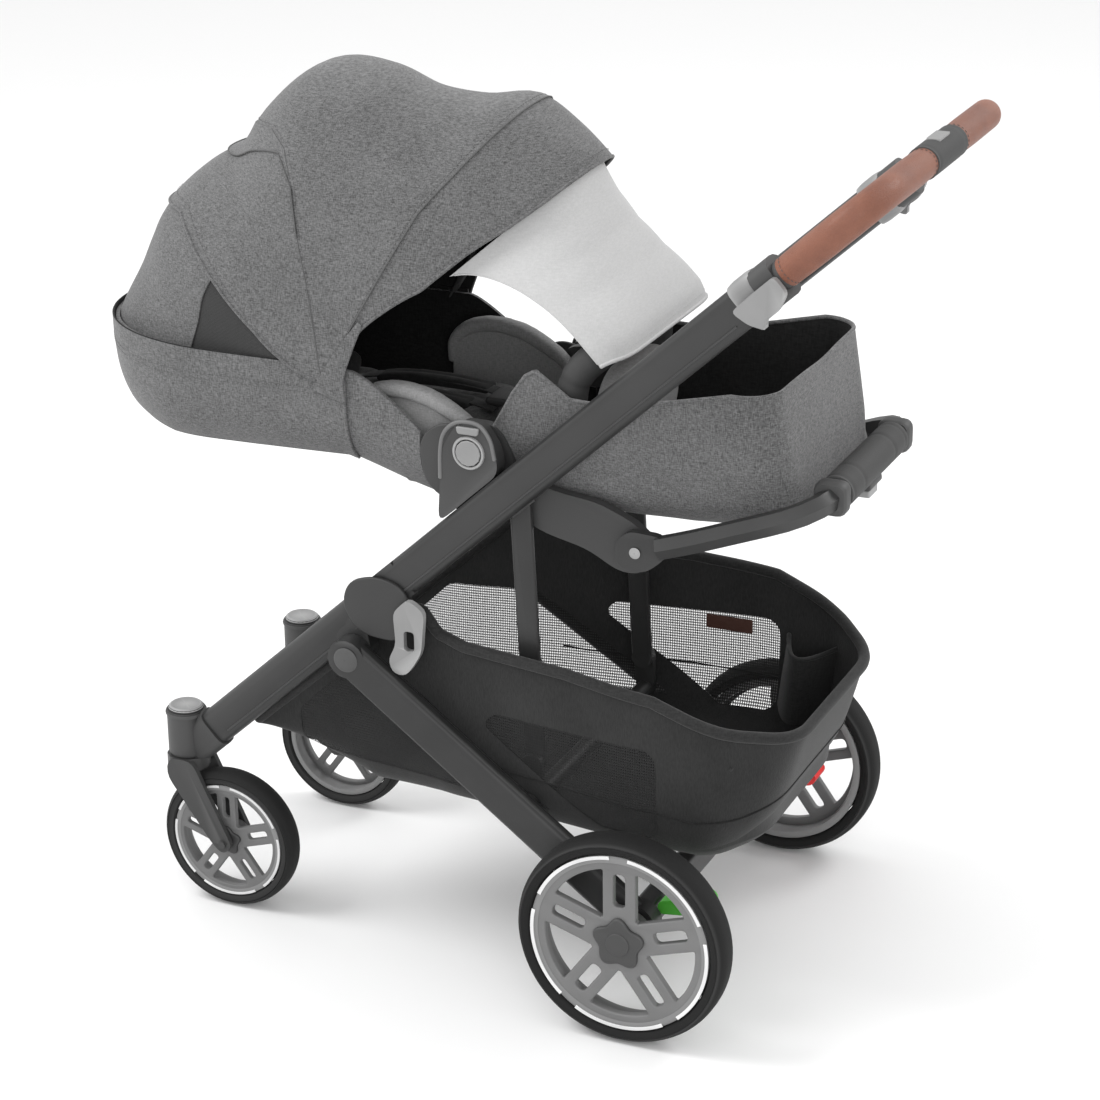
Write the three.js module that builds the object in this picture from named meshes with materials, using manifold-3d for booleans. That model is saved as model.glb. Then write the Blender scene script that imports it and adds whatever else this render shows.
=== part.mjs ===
// Folding baby stroller with a parent-facing flat seat, canopy, leg boot and under-seat basket.
// Millimetres. +Z is up, the handle is toward +Y, the caster wheels are toward -Y, +X is the left side.
import * as THREE from 'three';
import { mergeVertices } from 'three/addons/utils/BufferGeometryUtils.js';
import Module from 'manifold-3d';

const wasm = await Module();
wasm.setup();

// ---------- driving dimensions ----------
const CENTRE_SHIFT_Y = -12.8; // moves the finished model so that its box is centred on Y = 0
const GAP = 0.4; // between pieces that touch
const RUNNING_GAP = 0.6; // between pieces that turn or slide on each other

const REAR_WHEEL = { x: 268.7, y: 265, z: 134, radius: 134, width: 44, rimRadius: 114 };
const FRONT_WHEEL = { x: 155.5, y: -333, z: 94, radius: 94, width: 34, rimRadius: 77 };
const CASTER_POST = { x: 155.5, y: -392, bottom: 204.5, top: 270, radius: 25 };

const TUBE_FOOT = new THREE.Vector3(155, -366, 231); // centre line of the left side tube, low end
const TUBE_HEAD = new THREE.Vector3(215, 409, 936); // and its top end, at the handle
const TUBE_DEPTH = 48;
const TUBE_WIDTH = 28;
const STEM_RADIUS = 9.5; // telescoping handle tube
const STEM_BORE_RADIUS = 12.4;
const STEM_OFFSET = 2; // the tubes spread upward, so a straight slide needs this play
const GRIP_RADIUS = 18;
const HANDLE_BAR_Y = 532;

const REAR_LEG_PIVOT = { y: -126, z: 402, x: 201 };
const REAR_LEG_DEPTH = 50;
const REAR_LEG_WIDTH = 24;
const REAR_LEG_FOOT_X = 228;
const CROSS_TUBE = { y: 107, z: 243, radius: 12 };
const STRUT_TOP = { y: 90, z: 628 };
const STRUT_KNUCKLE = { y: 106, z: 290 };
const STRUT_X = 166.6; // strut centre plane, between the seat arm and the side tube
const STRUT_WIDTH = 7.4;
const SLIDER_X = 173.4;

const HUB = { y: 36, z: 672, outerX: 192 }; // seat hub and recline axis
const KNEE = { y: 238, z: 584 }; // leg rest axis
const SEAT_RIM_Z = 757;
const SEAT_HALF_WIDTH = 165;

const CANOPY_PIVOT = { y: -165, z: 740 };
const CANOPY_HALF_WIDTH = 172;
const CANOPY_SKIN = 4;
const HOOP_POWER = 2.3; // the hoops are superellipses
const REAR_HEM_ANGLE = 177;
const MIDDLE_RIB_ANGLE = 59;
const FRONT_RIB_ANGLE = 41.6;
const RIB_HALF_ANGLE = 0.8;
const SHADE_RADIUS = 375;
const SHADE_HALF_WIDTH = 160;

// ---------- solids ----------
const X_AXIS = new THREE.Vector3(1, 0, 0);
const Y_AXIS = new THREE.Vector3(0, 1, 0);
const Z_AXIS = new THREE.Vector3(0, 0, 1);
const SIDE_BASIS = new THREE.Matrix4().makeBasis(Y_AXIS, Z_AXIS, X_AXIS);
const FRONT_BASIS = new THREE.Matrix4().makeBasis(X_AXIS, Z_AXIS, Y_AXIS.clone().negate());

function toSolid(geometry) {
  const bare = geometry.clone();
  bare.deleteAttribute('normal');
  bare.deleteAttribute('uv');
  const merged = mergeVertices(bare, 1e-3);
  const corners = merged.index.array;
  const triangles = [];
  for (let i = 0; i < corners.length; i += 3) {
    const [a, b, c] = [corners[i], corners[i + 1], corners[i + 2]];
    if (a !== b && b !== c && c !== a) triangles.push(a, b, c);
  }
  return new wasm.Manifold(new wasm.Mesh({
    numProp: 3,
    vertProperties: Float32Array.from(merged.attributes.position.array),
    triVerts: Uint32Array.from(triangles),
  }));
}

function toGeometry(solid) {
  const mesh = solid.getMesh();
  const geometry = new THREE.BufferGeometry();
  const positions = new THREE.BufferAttribute(Float32Array.from(mesh.vertProperties), mesh.numProp);
  geometry.setAttribute('position', positions);
  geometry.setIndex(new THREE.BufferAttribute(Uint32Array.from(mesh.triVerts), 1));
  geometry.computeVertexNormals();
  return geometry;
}

function mirrorX(geometry) {
  const copy = geometry.clone().scale(-1, 1, 1);
  const corners = copy.index.array;
  for (let i = 0; i < corners.length; i += 3) {
    [corners[i], corners[i + 1]] = [corners[i + 1], corners[i]];
  }
  return copy;
}

// A polygon with its corners rounded; a point's third number overrides the radius.
function roundedShape(points, radius) {
  const shape = new THREE.Shape();
  const count = points.length;
  points.forEach(([a, b, own = radius], i) => {
    const corner = new THREE.Vector2(a, b);
    const [beforeA, beforeB] = points[(i + count - 1) % count];
    const [afterA, afterB] = points[(i + 1) % count];
    const back = new THREE.Vector2(beforeA, beforeB).sub(corner);
    const ahead = new THREE.Vector2(afterA, afterB).sub(corner);
    const reach = Math.min(own, back.length() * 0.49, ahead.length() * 0.49);
    const start = corner.clone().addScaledVector(back.normalize(), reach);
    const end = corner.clone().addScaledVector(ahead.normalize(), reach);
    if (i === 0) shape.moveTo(start.x, start.y);
    else shape.lineTo(start.x, start.y);
    shape.quadraticCurveTo(corner.x, corner.y, end.x, end.y);
  });
  shape.closePath();
  return shape;
}

function discShape(radius, a = 0, b = 0) {
  return new THREE.Shape().absarc(a, b, radius, 0, 2 * Math.PI);
}

function ovalShape(width, depth) {
  const [w, d] = [width / 2, depth / 2];
  return roundedShape([[w, d], [-w, d], [-w, -d], [w, -d]], Math.min(w, d) * 0.95);
}

function extrude(shape, depth, curveSegments = 4) {
  return new THREE.ExtrudeGeometry(shape, { depth, bevelEnabled: false, curveSegments, steps: 1 });
}

// The shape is drawn in Y and Z and runs from x0 to x1.
function sideSlab(shape, x0, x1, curveSegments) {
  const geometry = extrude(shape, x1 - x0, curveSegments).applyMatrix4(SIDE_BASIS);
  return toSolid(geometry.translate(x0, 0, 0));
}

// The shape is drawn in X and Y and runs from z0 to z1.
function planSlab(shape, z0, z1, curveSegments) {
  return toSolid(extrude(shape, z1 - z0, curveSegments).translate(0, 0, z0));
}

// The shape is drawn in X and Z and runs from y0 to y1.
function frontSlab(shape, y0, y1, curveSegments) {
  const geometry = extrude(shape, y1 - y0, curveSegments).applyMatrix4(FRONT_BASIS);
  return toSolid(geometry.translate(0, y1, 0));
}

function block(x0, x1, y0, y1, z0, z1) {
  const box = new THREE.BoxGeometry(x1 - x0, y1 - y0, z1 - z0);
  return toSolid(box.translate((x0 + x1) / 2, (y0 + y1) / 2, (z0 + z1) / 2));
}

// A straight member with the shape's own X kept as near to world X as it goes.
function member(start, end, shape, curveSegments) {
  const along = end.clone().sub(start);
  const length = along.length();
  along.normalize();
  const across = X_AXIS.clone().addScaledVector(along, -along.x).normalize();
  const basis = new THREE.Matrix4().makeBasis(across, along.clone().cross(across), along);
  const geometry = extrude(shape, length, curveSegments).applyMatrix4(basis);
  return toSolid(geometry.translate(start.x, start.y, start.z));
}

// A round pin along X.
function pin(x0, x1, y, z, radius, curveSegments = 6) {
  return sideSlab(discShape(radius, y, z), x0, x1, curveSegments);
}

function roundedPath(points, radius) {
  const path = new THREE.CurvePath();
  let from = points[0];
  for (let i = 1; i < points.length - 1; i += 1) {
    const back = from.clone().sub(points[i]);
    const ahead = points[i + 1].clone().sub(points[i]);
    const reach = Math.min(radius, back.length() * 0.9, ahead.length() * 0.49);
    const start = points[i].clone().addScaledVector(back.normalize(), reach);
    const end = points[i].clone().addScaledVector(ahead.normalize(), reach);
    path.add(new THREE.LineCurve3(from, start));
    path.add(new THREE.QuadraticBezierCurve3(start, points[i], end));
    from = end;
  }
  path.add(new THREE.LineCurve3(from, points[points.length - 1]));
  return path;
}

function sweep(path, shape, steps, curveSegments = 3) {
  return toSolid(new THREE.ExtrudeGeometry(shape, { extrudePath: path, steps, curveSegments }));
}

// A closed sheet between two surfaces, each a function of two numbers from 0 to 1.
function sheet(outer, inner, columns, rows) {
  const positions = [];
  for (const surface of [outer, inner]) {
    for (let row = 0; row <= rows; row += 1) {
      for (let column = 0; column <= columns; column += 1) {
        positions.push(...surface(column / columns, row / rows).toArray());
      }
    }
  }
  const across = columns + 1;
  const layer = across * (rows + 1);
  const triangles = [];
  const quad = (a, b, c, d) => triangles.push(a, c, b, a, d, c);
  for (let row = 0; row < rows; row += 1) {
    for (let column = 0; column < columns; column += 1) {
      const a = row * across + column;
      const b = a + 1;
      quad(a, b, b + across, a + across);
      quad(layer + a, layer + a + across, layer + b + across, layer + b);
    }
  }
  for (let column = 0; column < columns; column += 1) {
    const last = rows * across + column;
    quad(column + 1, column, layer + column, layer + column + 1);
    quad(last, last + 1, layer + last + 1, layer + last);
  }
  for (let row = 0; row < rows; row += 1) {
    const left = row * across;
    const right = left + columns;
    quad(left, left + across, layer + left + across, layer + left);
    quad(right + across, right, layer + right, layer + right + across);
  }
  const geometry = new THREE.BufferGeometry();
  geometry.setAttribute('position', new THREE.Float32BufferAttribute(positions, 3));
  geometry.setIndex(triangles);
  return toSolid(geometry);
}

// ---------- scene graph ----------
const stroller = new THREE.Group();
stroller.position.y = CENTRE_SHIFT_Y;

const FINISHES = {
  frame: { color: 0x3c3d3f, roughness: 0.45, metalness: 0.3 },
  plastic: { color: 0x343537, roughness: 0.6, metalness: 0 },
  rim: { color: 0x808285, roughness: 0.5, metalness: 0.1 },
  rubber: { color: 0x1b1b1c, roughness: 0.9, metalness: 0 },
  leather: { color: 0x8e5840, roughness: 0.6, metalness: 0 },
  trim: { color: 0x8a8b8d, roughness: 0.5, metalness: 0 },
  melange: { color: 0x7f8081, roughness: 0.95, metalness: 0 },
  padding: { color: 0x9a9b9c, roughness: 0.95, metalness: 0 },
  shade: { color: 0xcacaca, roughness: 0.9, metalness: 0 },
  lining: { color: 0x232324, roughness: 0.95, metalness: 0 },
  brakeRed: { color: 0xc02424, roughness: 0.5, metalness: 0 },
  brakeGreen: { color: 0x3aa03c, roughness: 0.5, metalness: 0 },
};

function add(name, solid, finish, place = [0, 0, 0]) {
  const mesh = new THREE.Mesh(toGeometry(solid), new THREE.MeshStandardMaterial(FINISHES[finish]));
  mesh.name = name;
  mesh.position.set(...place);
  stroller.add(mesh);
}

// The left piece is given; the right one is its mirror image.
function addPair(name, solid, finish, rightFinish = finish) {
  const left = toGeometry(solid);
  const pair = [['left', left, finish], ['right', mirrorX(left), rightFinish]];
  for (const [side, geometry, look] of pair) {
    const mesh = new THREE.Mesh(geometry, new THREE.MeshStandardMaterial(FINISHES[look]));
    mesh.name = `${name}_${side}`;
    stroller.add(mesh);
  }
}

const tubeDirection = TUBE_HEAD.clone().sub(TUBE_FOOT).normalize();

// The point of the left tube's centre line at a given Y.
function tubeAt(y) {
  const share = (y - TUBE_FOOT.y) / (TUBE_HEAD.y - TUBE_FOOT.y);
  return TUBE_FOOT.clone().lerp(TUBE_HEAD, share);
}

function alongTube(point, distance) {
  return point.clone().addScaledVector(tubeDirection, distance);
}

// ---------- wheels ----------
function addWheel(side, end, wheel, spokeGap, boreRadius) {
  const sign = side === 'left' ? 1 : -1;
  const half = wheel.width / 2;
  const inner = wheel.rimRadius + 1;
  const shoulder = wheel.radius - half * 0.35;
  const profile = [
    [inner, -half * 0.75], [shoulder, -half], [wheel.radius, -half * 0.55], [wheel.radius, half * 0.55],
    [shoulder, half], [inner, half * 0.75], [inner, -half * 0.75],
  ].map(([radius, axial]) => new THREE.Vector2(radius, axial));
  const place = [sign * wheel.x, wheel.y, wheel.z];
  const tyre = new THREE.LatheGeometry(profile, 36).rotateZ(-Math.PI / 2);
  add(`${end}_tyre_${side}`, toSolid(tyre), 'rubber', place);

  const band = discShape(wheel.rimRadius);
  band.holes.push(discShape(wheel.rimRadius - 10));
  let rim = sideSlab(band, -half * 0.7, half * 0.7, 16);
  rim = rim.add(pin(-half * 0.8, half * 0.8, 0, 0, spokeGap + 14));
  const spokeLength = wheel.rimRadius - 5;
  for (let spoke = 0; spoke < 5; spoke += 1) {
    for (const beside of [-1, 1]) {
      const arm = new THREE.BoxGeometry(half * 0.8, 9, spokeLength);
      arm.translate(0, beside * spokeGap, spokeLength / 2).rotateX((spoke * 2 * Math.PI) / 5);
      rim = rim.add(toSolid(arm));
    }
  }
  rim = rim.subtract(pin(-half, half, 0, 0, boreRadius, 4));
  add(`${end}_rim_${side}`, rim, 'rim', place);
}

const REAR_STUB_RADIUS = 7;
const FRONT_BOLT_RADIUS = 5;
for (const side of ['left', 'right']) {
  addWheel(side, 'rear', REAR_WHEEL, 12, REAR_STUB_RADIUS + RUNNING_GAP);
  addWheel(side, 'front', FRONT_WHEEL, 9, FRONT_BOLT_RADIUS + RUNNING_GAP);
}

// ---------- casters ----------
const wheelClear = FRONT_WHEEL.width / 2 + 3.5;
const forkOuter = wheelClear + 7;

function casterFork() {
  const { x, y } = CASTER_POST;
  const crownTop = CASTER_POST.bottom - RUNNING_GAP;
  const crown = planSlab(discShape(forkOuter, x, y), crownTop - 17, crownTop, 6);
  const legOutline = roundedShape([
    [y - 15, crownTop], [y + 20, crownTop], [FRONT_WHEEL.y + 14, FRONT_WHEEL.z - 2],
    [FRONT_WHEEL.y, FRONT_WHEEL.z - 15], [FRONT_WHEEL.y - 15, FRONT_WHEEL.z - 2], [y - 18, crownTop - 25],
  ], 12);
  let fork = crown;
  for (const side of [-1, 1]) {
    const edges = [x + side * wheelClear, x + side * forkOuter].sort((a, b) => a - b);
    fork = fork.add(sideSlab(legOutline, ...edges, 3));
  }
  return fork.add(pin(x - forkOuter - 3, x + forkOuter + 3, FRONT_WHEEL.y, FRONT_WHEEL.z,
      FRONT_BOLT_RADIUS));
}
addPair('caster_fork', casterFork(), 'plastic');

const SOCKET_LENGTH = 62; // of the caster housing's sleeve on the side tube
function casterHousing() {
  const { x, y, bottom, top, radius } = CASTER_POST;
  const barrel = [[0, bottom], [radius - 2, bottom], [radius, bottom + 4], [radius, top - 4],
      [radius - 3, top - 4],
    [radius - 3, top], [0, top]].map(([r, z]) => new THREE.Vector2(r, z));
  const body = new THREE.LatheGeometry(barrel, 24).rotateX(Math.PI / 2).translate(x, y, 0);
  const sleeveStart = alongTube(tubeAt(y), 10);
  const sleeve = member(sleeveStart, alongTube(tubeAt(y), SOCKET_LENGTH), ovalShape(34, 54));
  const below = block(x - 60, x + 60, y - 60, y + 60, bottom - 80, bottom);
  return toSolid(body).add(sleeve.subtract(below));
}
addPair('caster_housing', casterHousing(), 'plastic');

// ---------- front legs and upper tubes ----------
const HINGE_RADIUS = 24;
const HINGE_CLEAR = 31; // full-width tube starts this far from the pivot
const FRAME_PIVOT = tubeAt(-94); // the upper frame folds here
const hingeX = FRAME_PIVOT.x;
const hingeDisc = discShape(HINGE_RADIUS, FRAME_PIVOT.y, FRAME_PIVOT.z);
const tubeShape = ovalShape(TUBE_WIDTH, TUBE_DEPTH);

// Half of the lap joint: a rounded plate that runs from the pivot into the tube.
function hingePlate(direction, x0, x1) {
  const centre = alongTube(FRAME_PIVOT, direction * (HINGE_CLEAR + 20));
  const rise = HINGE_RADIUS * 0.74;
  const run = HINGE_RADIUS * 0.67;
  const corners = [
    [FRAME_PIVOT.y - run, FRAME_PIVOT.z + rise], [FRAME_PIVOT.y + run, FRAME_PIVOT.z - rise],
    [centre.y + run, centre.z - rise], [centre.y - run, centre.z + rise],
  ];
  const strip = roundedShape(direction > 0 ? corners : corners.reverse(), 1);
  return sideSlab(hingeDisc, x0, x1, 8).add(sideSlab(strip, x0, x1, 1));
}

function frontLeg() {
  const start = alongTube(tubeAt(CASTER_POST.y), SOCKET_LENGTH + GAP);
  const end = alongTube(FRAME_PIVOT, -HINGE_CLEAR);
  const plate = hingePlate(-1, hingeX - 13, hingeX - RUNNING_GAP / 2);
  const lugOutline = roundedShape([
    [REAR_LEG_PIVOT.y - 24, REAR_LEG_PIVOT.z], [REAR_LEG_PIVOT.y, REAR_LEG_PIVOT.z - 22],
    [REAR_LEG_PIVOT.y + 24, REAR_LEG_PIVOT.z], [REAR_LEG_PIVOT.y + 12, REAR_LEG_PIVOT.z + 58],
    [REAR_LEG_PIVOT.y - 26, REAR_LEG_PIVOT.z + 22],
  ], 12);
  const outside = REAR_LEG_PIVOT.x - REAR_LEG_WIDTH / 2 - RUNNING_GAP;
  const lug = sideSlab(lugOutline, outside - 20, outside, 4);
  const bore = pin(outside - 16, outside + 1, REAR_LEG_PIVOT.y, REAR_LEG_PIVOT.z, 7 + RUNNING_GAP);
  return member(start, end, tubeShape).add(plate).add(lug).subtract(bore);
}
addPair('front_leg', frontLeg(), 'frame');

const COLLAR_LENGTH = 30;
const TELESCOPE_BORE = 150;
function upperTube() {
  const start = alongTube(FRAME_PIVOT, HINGE_CLEAR);
  const plate = hingePlate(1, hingeX + RUNNING_GAP / 2, hingeX + 15);
  const bore = member(alongTube(TUBE_HEAD, -TELESCOPE_BORE), alongTube(TUBE_HEAD, 1),
    discShape(STEM_BORE_RADIUS), 5);
  const cover = pin(hingeX + 14.6, hingeX + 20, FRAME_PIVOT.y, FRAME_PIVOT.z - 8, 33, 8);
  return member(start, TUBE_HEAD, tubeShape).add(plate).add(cover).subtract(bore);
}
addPair('upper_tube', upperTube(), 'frame');

const crossTubeEnd = tubeAt(-200).x - TUBE_WIDTH / 2 - 1;
add('front_cross_tube', pin(-crossTubeEnd, crossTubeEnd, -200, tubeAt(-200).z, 9, 4), 'frame');

// ---------- rear legs, axle, cross tube, brakes ----------
function rearLeg() {
  const { x, y, z } = REAR_LEG_PIVOT;
  const top = new THREE.Vector3(x, y, z);
  const foot = new THREE.Vector3(REAR_LEG_FOOT_X, REAR_WHEEL.y, REAR_WHEEL.z);
  const half = REAR_LEG_WIDTH / 2;
  const bar = member(top, foot, ovalShape(REAR_LEG_WIDTH, REAR_LEG_DEPTH));
  const knuckle = pin(x - half, x + half, y, z, REAR_LEG_DEPTH / 2, 8);
  const ankle = pin(foot.x - half, foot.x + half, foot.y, foot.z, 27, 8);
  const pivotPin = pin(x - half - 14, x, y, z, 7);
  const axleHole = pin(foot.x - 30, foot.x + 30, foot.y, foot.z, 10 + GAP);
  return bar.add(knuckle).add(ankle).add(pivotPin).subtract(axleHole);
}
addPair('rear_leg', rearLeg(), 'frame');

const axleBeamEnd = REAR_LEG_FOOT_X - REAR_LEG_WIDTH / 2 - 2;
function rearAxle() {
  const { y, z } = REAR_WHEEL;
  const beam = sideSlab(roundedShape([[y + 13, z + 18], [y - 13, z + 18], [y - 13, z - 18], [y + 13,
      z - 18]], 6),
    -axleBeamEnd, axleBeamEnd, 3);
  const spindle = pin(-244, 244, y, z, 10);
  const stub = REAR_WHEEL.x + REAR_WHEEL.width * 0.4;
  return beam.add(spindle).add(pin(-stub, stub, y, z, REAR_STUB_RADIUS));
}
add('rear_axle', rearAxle(), 'frame');

function crossTube() {
  const { y, z, radius } = CROSS_TUBE;
  const share = (y - REAR_LEG_PIVOT.y) / (REAR_WHEEL.y - REAR_LEG_PIVOT.y);
  const legX = REAR_LEG_PIVOT.x + share * (REAR_LEG_FOOT_X - REAR_LEG_PIVOT.x);
  const end = legX - REAR_LEG_WIDTH / 2 - 1.5;
  let tube = pin(-end, end, y, z, radius);
  const lug = roundedShape([
    [y - 13, z], [y + 13, z], [STRUT_KNUCKLE.y + 13, STRUT_KNUCKLE.z + 12], [STRUT_KNUCKLE.y - 13,
        STRUT_KNUCKLE.z + 12],
  ], 12);
  const lugX = STRUT_X + STRUT_WIDTH / 2 + RUNNING_GAP;
  for (const edges of [[lugX, lugX + 9], [-lugX - 9, -lugX]]) {
    tube = tube.add(sideSlab(lug, ...edges, 3));
  }
  return tube;
}
add('rear_cross_tube', crossTube(), 'frame');

const BRAKE_PIVOT = { y: 291, z: 146 };
function brakePedal() {
  const { y, z } = BRAKE_PIVOT;
  const outline = roundedShape([[y - 9, z - 8], [y + 50, z], [y + 57, z + 12], [y + 46, z + 22], [y - 9,
      z + 9]], 8);
  return sideSlab(outline, 172, 208, 3);
}
addPair('brake_pedal', brakePedal(), 'brakeGreen', 'brakeRed');

// ---------- folding struts ----------
function strutSlider() {
  const { y, z } = STRUT_TOP;
  const half = 20;
  const centre = new THREE.Vector3(SLIDER_X, y, z);
  const shape = ovalShape(3.6, 26);
  return member(alongTube(centre, -half), alongTube(centre, half), shape, 2);
}

// The strut hangs beside the slider, so that it can swing.
function strut() {
  const top = new THREE.Vector3(STRUT_X, STRUT_TOP.y, STRUT_TOP.z);
  const foot = new THREE.Vector3(STRUT_X, STRUT_KNUCKLE.y, STRUT_KNUCKLE.z);
  const half = STRUT_WIDTH / 2;
  const bar = member(top, foot, ovalShape(STRUT_WIDTH, 28));
  const ends = [STRUT_TOP, STRUT_KNUCKLE].map(({ y, z }) => pin(top.x - half, top.x + half, y, z, 14));
  return bar.add(ends[0]).add(ends[1]);
}
addPair('strut_slider', strutSlider(), 'plastic');
addPair('strut', strut(), 'frame');

// ---------- seat hubs and arms ----------
function seatMount() {
  const { y, z, outerX } = HUB;
  const along = (dy) => tubeAt(y + dy).z + TUBE_DEPTH * 0.7; // just above the tube's top face
  const outline = roundedShape([
    [y - 42, along(-42)], [y + 38, along(38)], [y + 34, z + 20], [y + 14, z + 50], [y - 14, z + 50],
        [y - 36, z + 14],
  ], 16);
  const pocket = pin(outerX - 8, outerX + 1, y, z + 14, 16 + RUNNING_GAP);
  return sideSlab(outline, outerX - 22, outerX, 4).subtract(pocket);
}
addPair('seat_mount', seatMount(), 'plastic');
addPair('hub_button', pin(HUB.outerX - 3.5, HUB.outerX + 3, HUB.y, HUB.z + 14, 16), 'trim');

const ARM_INNER_X = 146;
const ARM_OUTER_X = 159;
function seatArm() {
  const outline = roundedShape([
    [-8, 596], [40, 606], [78, 606], [114, 587], [172, 574], [212, 552], [240, 552, 26], [266, 584, 26],
        [236, 614, 26],
    [186, 634], [134, 640], [82, 652], [72, 690, 20], [56, 712, 24], [16, 712, 24], [-4, 690, 24],
  ], 16);
  return sideSlab(outline, ARM_INNER_X, ARM_OUTER_X, 3);
}
addPair('seat_arm', seatArm(), 'plastic');

// ---------- seat back ----------
const SHELL_WALL = 8;
const BACK_HEAD_Y = -527;
const BACK_NOSE_Y = -330;
const BACK_END_Y = -40;

// The head end is round in plan; inset moves every wall inward.
function backPlan(inset) {
  const w = SEAT_HALF_WIDTH - inset;
  const reach = BACK_NOSE_Y - BACK_HEAD_Y - inset;
  const nose = Array.from({ length: 11 }, (_, step) => {
    const turn = Math.PI * step / 10;
    return [-w * Math.cos(turn), BACK_NOSE_Y - reach * Math.sin(turn)];
  });
  return roundedShape([[w, BACK_END_Y, 1], [-w, BACK_END_Y, 1], ...nose].reverse(), 12);
}

function backProfile(inset) {
  const top = SEAT_RIM_Z + (inset ? 60 : 0);
  const rear = BACK_END_Y + (inset ? 5 : 0);
  return roundedShape([
    [BACK_HEAD_Y - 5, top, 1], [BACK_HEAD_Y - 5, 628 + inset, 60], [-400, 614 + inset], [-150, 622 + inset],
    [-78, 596 + inset], [rear, 586 + inset, 1], [rear, 700, 20], [-140, top, 30],
  ], 40);
}

function backSection(inset) {
  const w = SEAT_HALF_WIDTH - inset;
  const low = 560 + inset;
  return roundedShape([
    [w, SEAT_RIM_Z + 90, 1], [-w, SEAT_RIM_Z + 90, 1], [-w, 655 + inset], [-w + 50, low], [w - 50, low],
        [w, 655 + inset],
  ], 30);
}

function backTub(inset) {
  const plan = planSlab(backPlan(inset), 540, 860, 6);
  const profile = sideSlab(backProfile(inset), -200, 200, 4);
  const section = frontSlab(backSection(inset), BACK_HEAD_Y - 20, BACK_END_Y + 20, 4);
  return plan.intersect(profile).intersect(section);
}
add('seat_back_shell', backTub(0).subtract(backTub(SHELL_WALL)), 'melange');

const backPadPlan = roundedShape([
  [112, 8], [-112, 8], [-112, -350, 60], [-72, -456, 60], [72, -456, 60], [112, -350, 60],
].reverse(), 20);
add('back_pad', planSlab(backPadPlan, 640, 672, 4), 'lining');
const wingOutline = roundedShape([
  [-140, 652], [-6, 652], [20, 668], [26, 700], [-38, 724], [-105, 734], [-143, 714],
], 16);
addPair('side_wing', sideSlab(wingOutline, 122, 144, 3), 'padding');

// ---------- canopy ----------
const canopyOutline = new THREE.CatmullRomCurve3([
  [178, 351], [166, 330], [153, 327], [137, 311], [125, 300], [114, 325], [101, 353], [90, 346],
  [79, 330], [68, 343], [59, 378], [50, 386], [40, 386],
].map(([angle, radius]) => new THREE.Vector3(angle, radius, 0)));

// Top radius of the canopy's hoop at an angle about its pivot, counted from +Y toward +Z.
function hoopRadius(angle) {
  let [low, high] = [0, 1];
  for (let step = 0; step < 24; step += 1) {
    const middle = (low + high) / 2;
    if (canopyOutline.getPoint(middle).x > angle) low = middle;
    else high = middle;
  }
  return canopyOutline.getPoint(low).y;
}

// A point of a hoop: share runs from its right foot at 0 over the top to its left foot at 1.
function hoopPoint(angle, share, halfWidth, radius, footRadius, power = HOOP_POWER) {
  const foot = Math.asin((footRadius / radius) ** (power / 2));
  const turn = Math.PI - foot - share * (Math.PI - 2 * foot);
  const x = halfWidth * Math.sign(Math.cos(turn)) * Math.abs(Math.cos(turn)) ** (2 / power);
  const r = radius * Math.sin(turn) ** (2 / power);
  const radians = THREE.MathUtils.degToRad(angle);
  return new THREE.Vector3(x, CANOPY_PIVOT.y + r * Math.cos(radians),
      CANOPY_PIVOT.z + r * Math.sin(radians));
}

function canopySlice(fromAngle, toAngle, columns, rows) {
  const surface = (inset) => (share, row) => {
    const angle = fromAngle + (toAngle - fromAngle) * row;
    return hoopPoint(angle, share, CANOPY_HALF_WIDTH - inset, hoopRadius(angle) - inset, 26);
  };
  return sheet(surface(0), surface(CANOPY_SKIN), columns, rows);
}

const ribEdge = RIB_HALF_ANGLE + 0.15;
const insideRim = block(-168, 168, -700, 300, 700, SEAT_RIM_Z + 2);
const rearPanel = canopySlice(MIDDLE_RIB_ANGLE + ribEdge, REAR_HEM_ANGLE, 14, 9).subtract(insideRim);
add('canopy_rear_panel', rearPanel, 'melange');
add('canopy_middle_rib', canopySlice(MIDDLE_RIB_ANGLE - RIB_HALF_ANGLE,
    MIDDLE_RIB_ANGLE + RIB_HALF_ANGLE, 14, 1), 'trim');
add('canopy_front_panel', canopySlice(FRONT_RIB_ANGLE + ribEdge, MIDDLE_RIB_ANGLE - ribEdge, 14, 2),
    'melange');
add('canopy_front_rib', canopySlice(FRONT_RIB_ANGLE - RIB_HALF_ANGLE, FRONT_RIB_ANGLE + RIB_HALF_ANGLE,
    14, 1), 'trim');

// The shade hangs from the front rib and ends in a square hem just in front of the bumper bar.
const SHADE_FOOT = { brim: 209, hem: 354 };
const HEM_ANGLE = { middle: 10.8, corner: 9.5 };
const HEM_POWER = 9;
const HEM_EXTRA_RADIUS = 9;
function sunshade() {
  const surface = (inset) => (share, row) => {
    const forward = 1 - row;
    const lowAngle = HEM_ANGLE.middle + (HEM_ANGLE.corner - HEM_ANGLE.middle) * Math.abs(2 * share - 1) ** 6;
    const highAngle = FRONT_RIB_ANGLE - ribEdge - 0.4;
    const angle = highAngle + (lowAngle - highAngle) * forward;
    const foot = SHADE_FOOT.brim + (SHADE_FOOT.hem - SHADE_FOOT.brim) * forward ** 0.8;
    const radius = SHADE_RADIUS + HEM_EXTRA_RADIUS * forward;
    const power = HOOP_POWER + (HEM_POWER - HOOP_POWER) * forward;
    return hoopPoint(angle, share, SHADE_HALF_WIDTH - inset, radius - inset, foot, power);
  };
  return sheet(surface(0), surface(3), 18, 5);
}
add('sunshade', sunshade(), 'shade');

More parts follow.
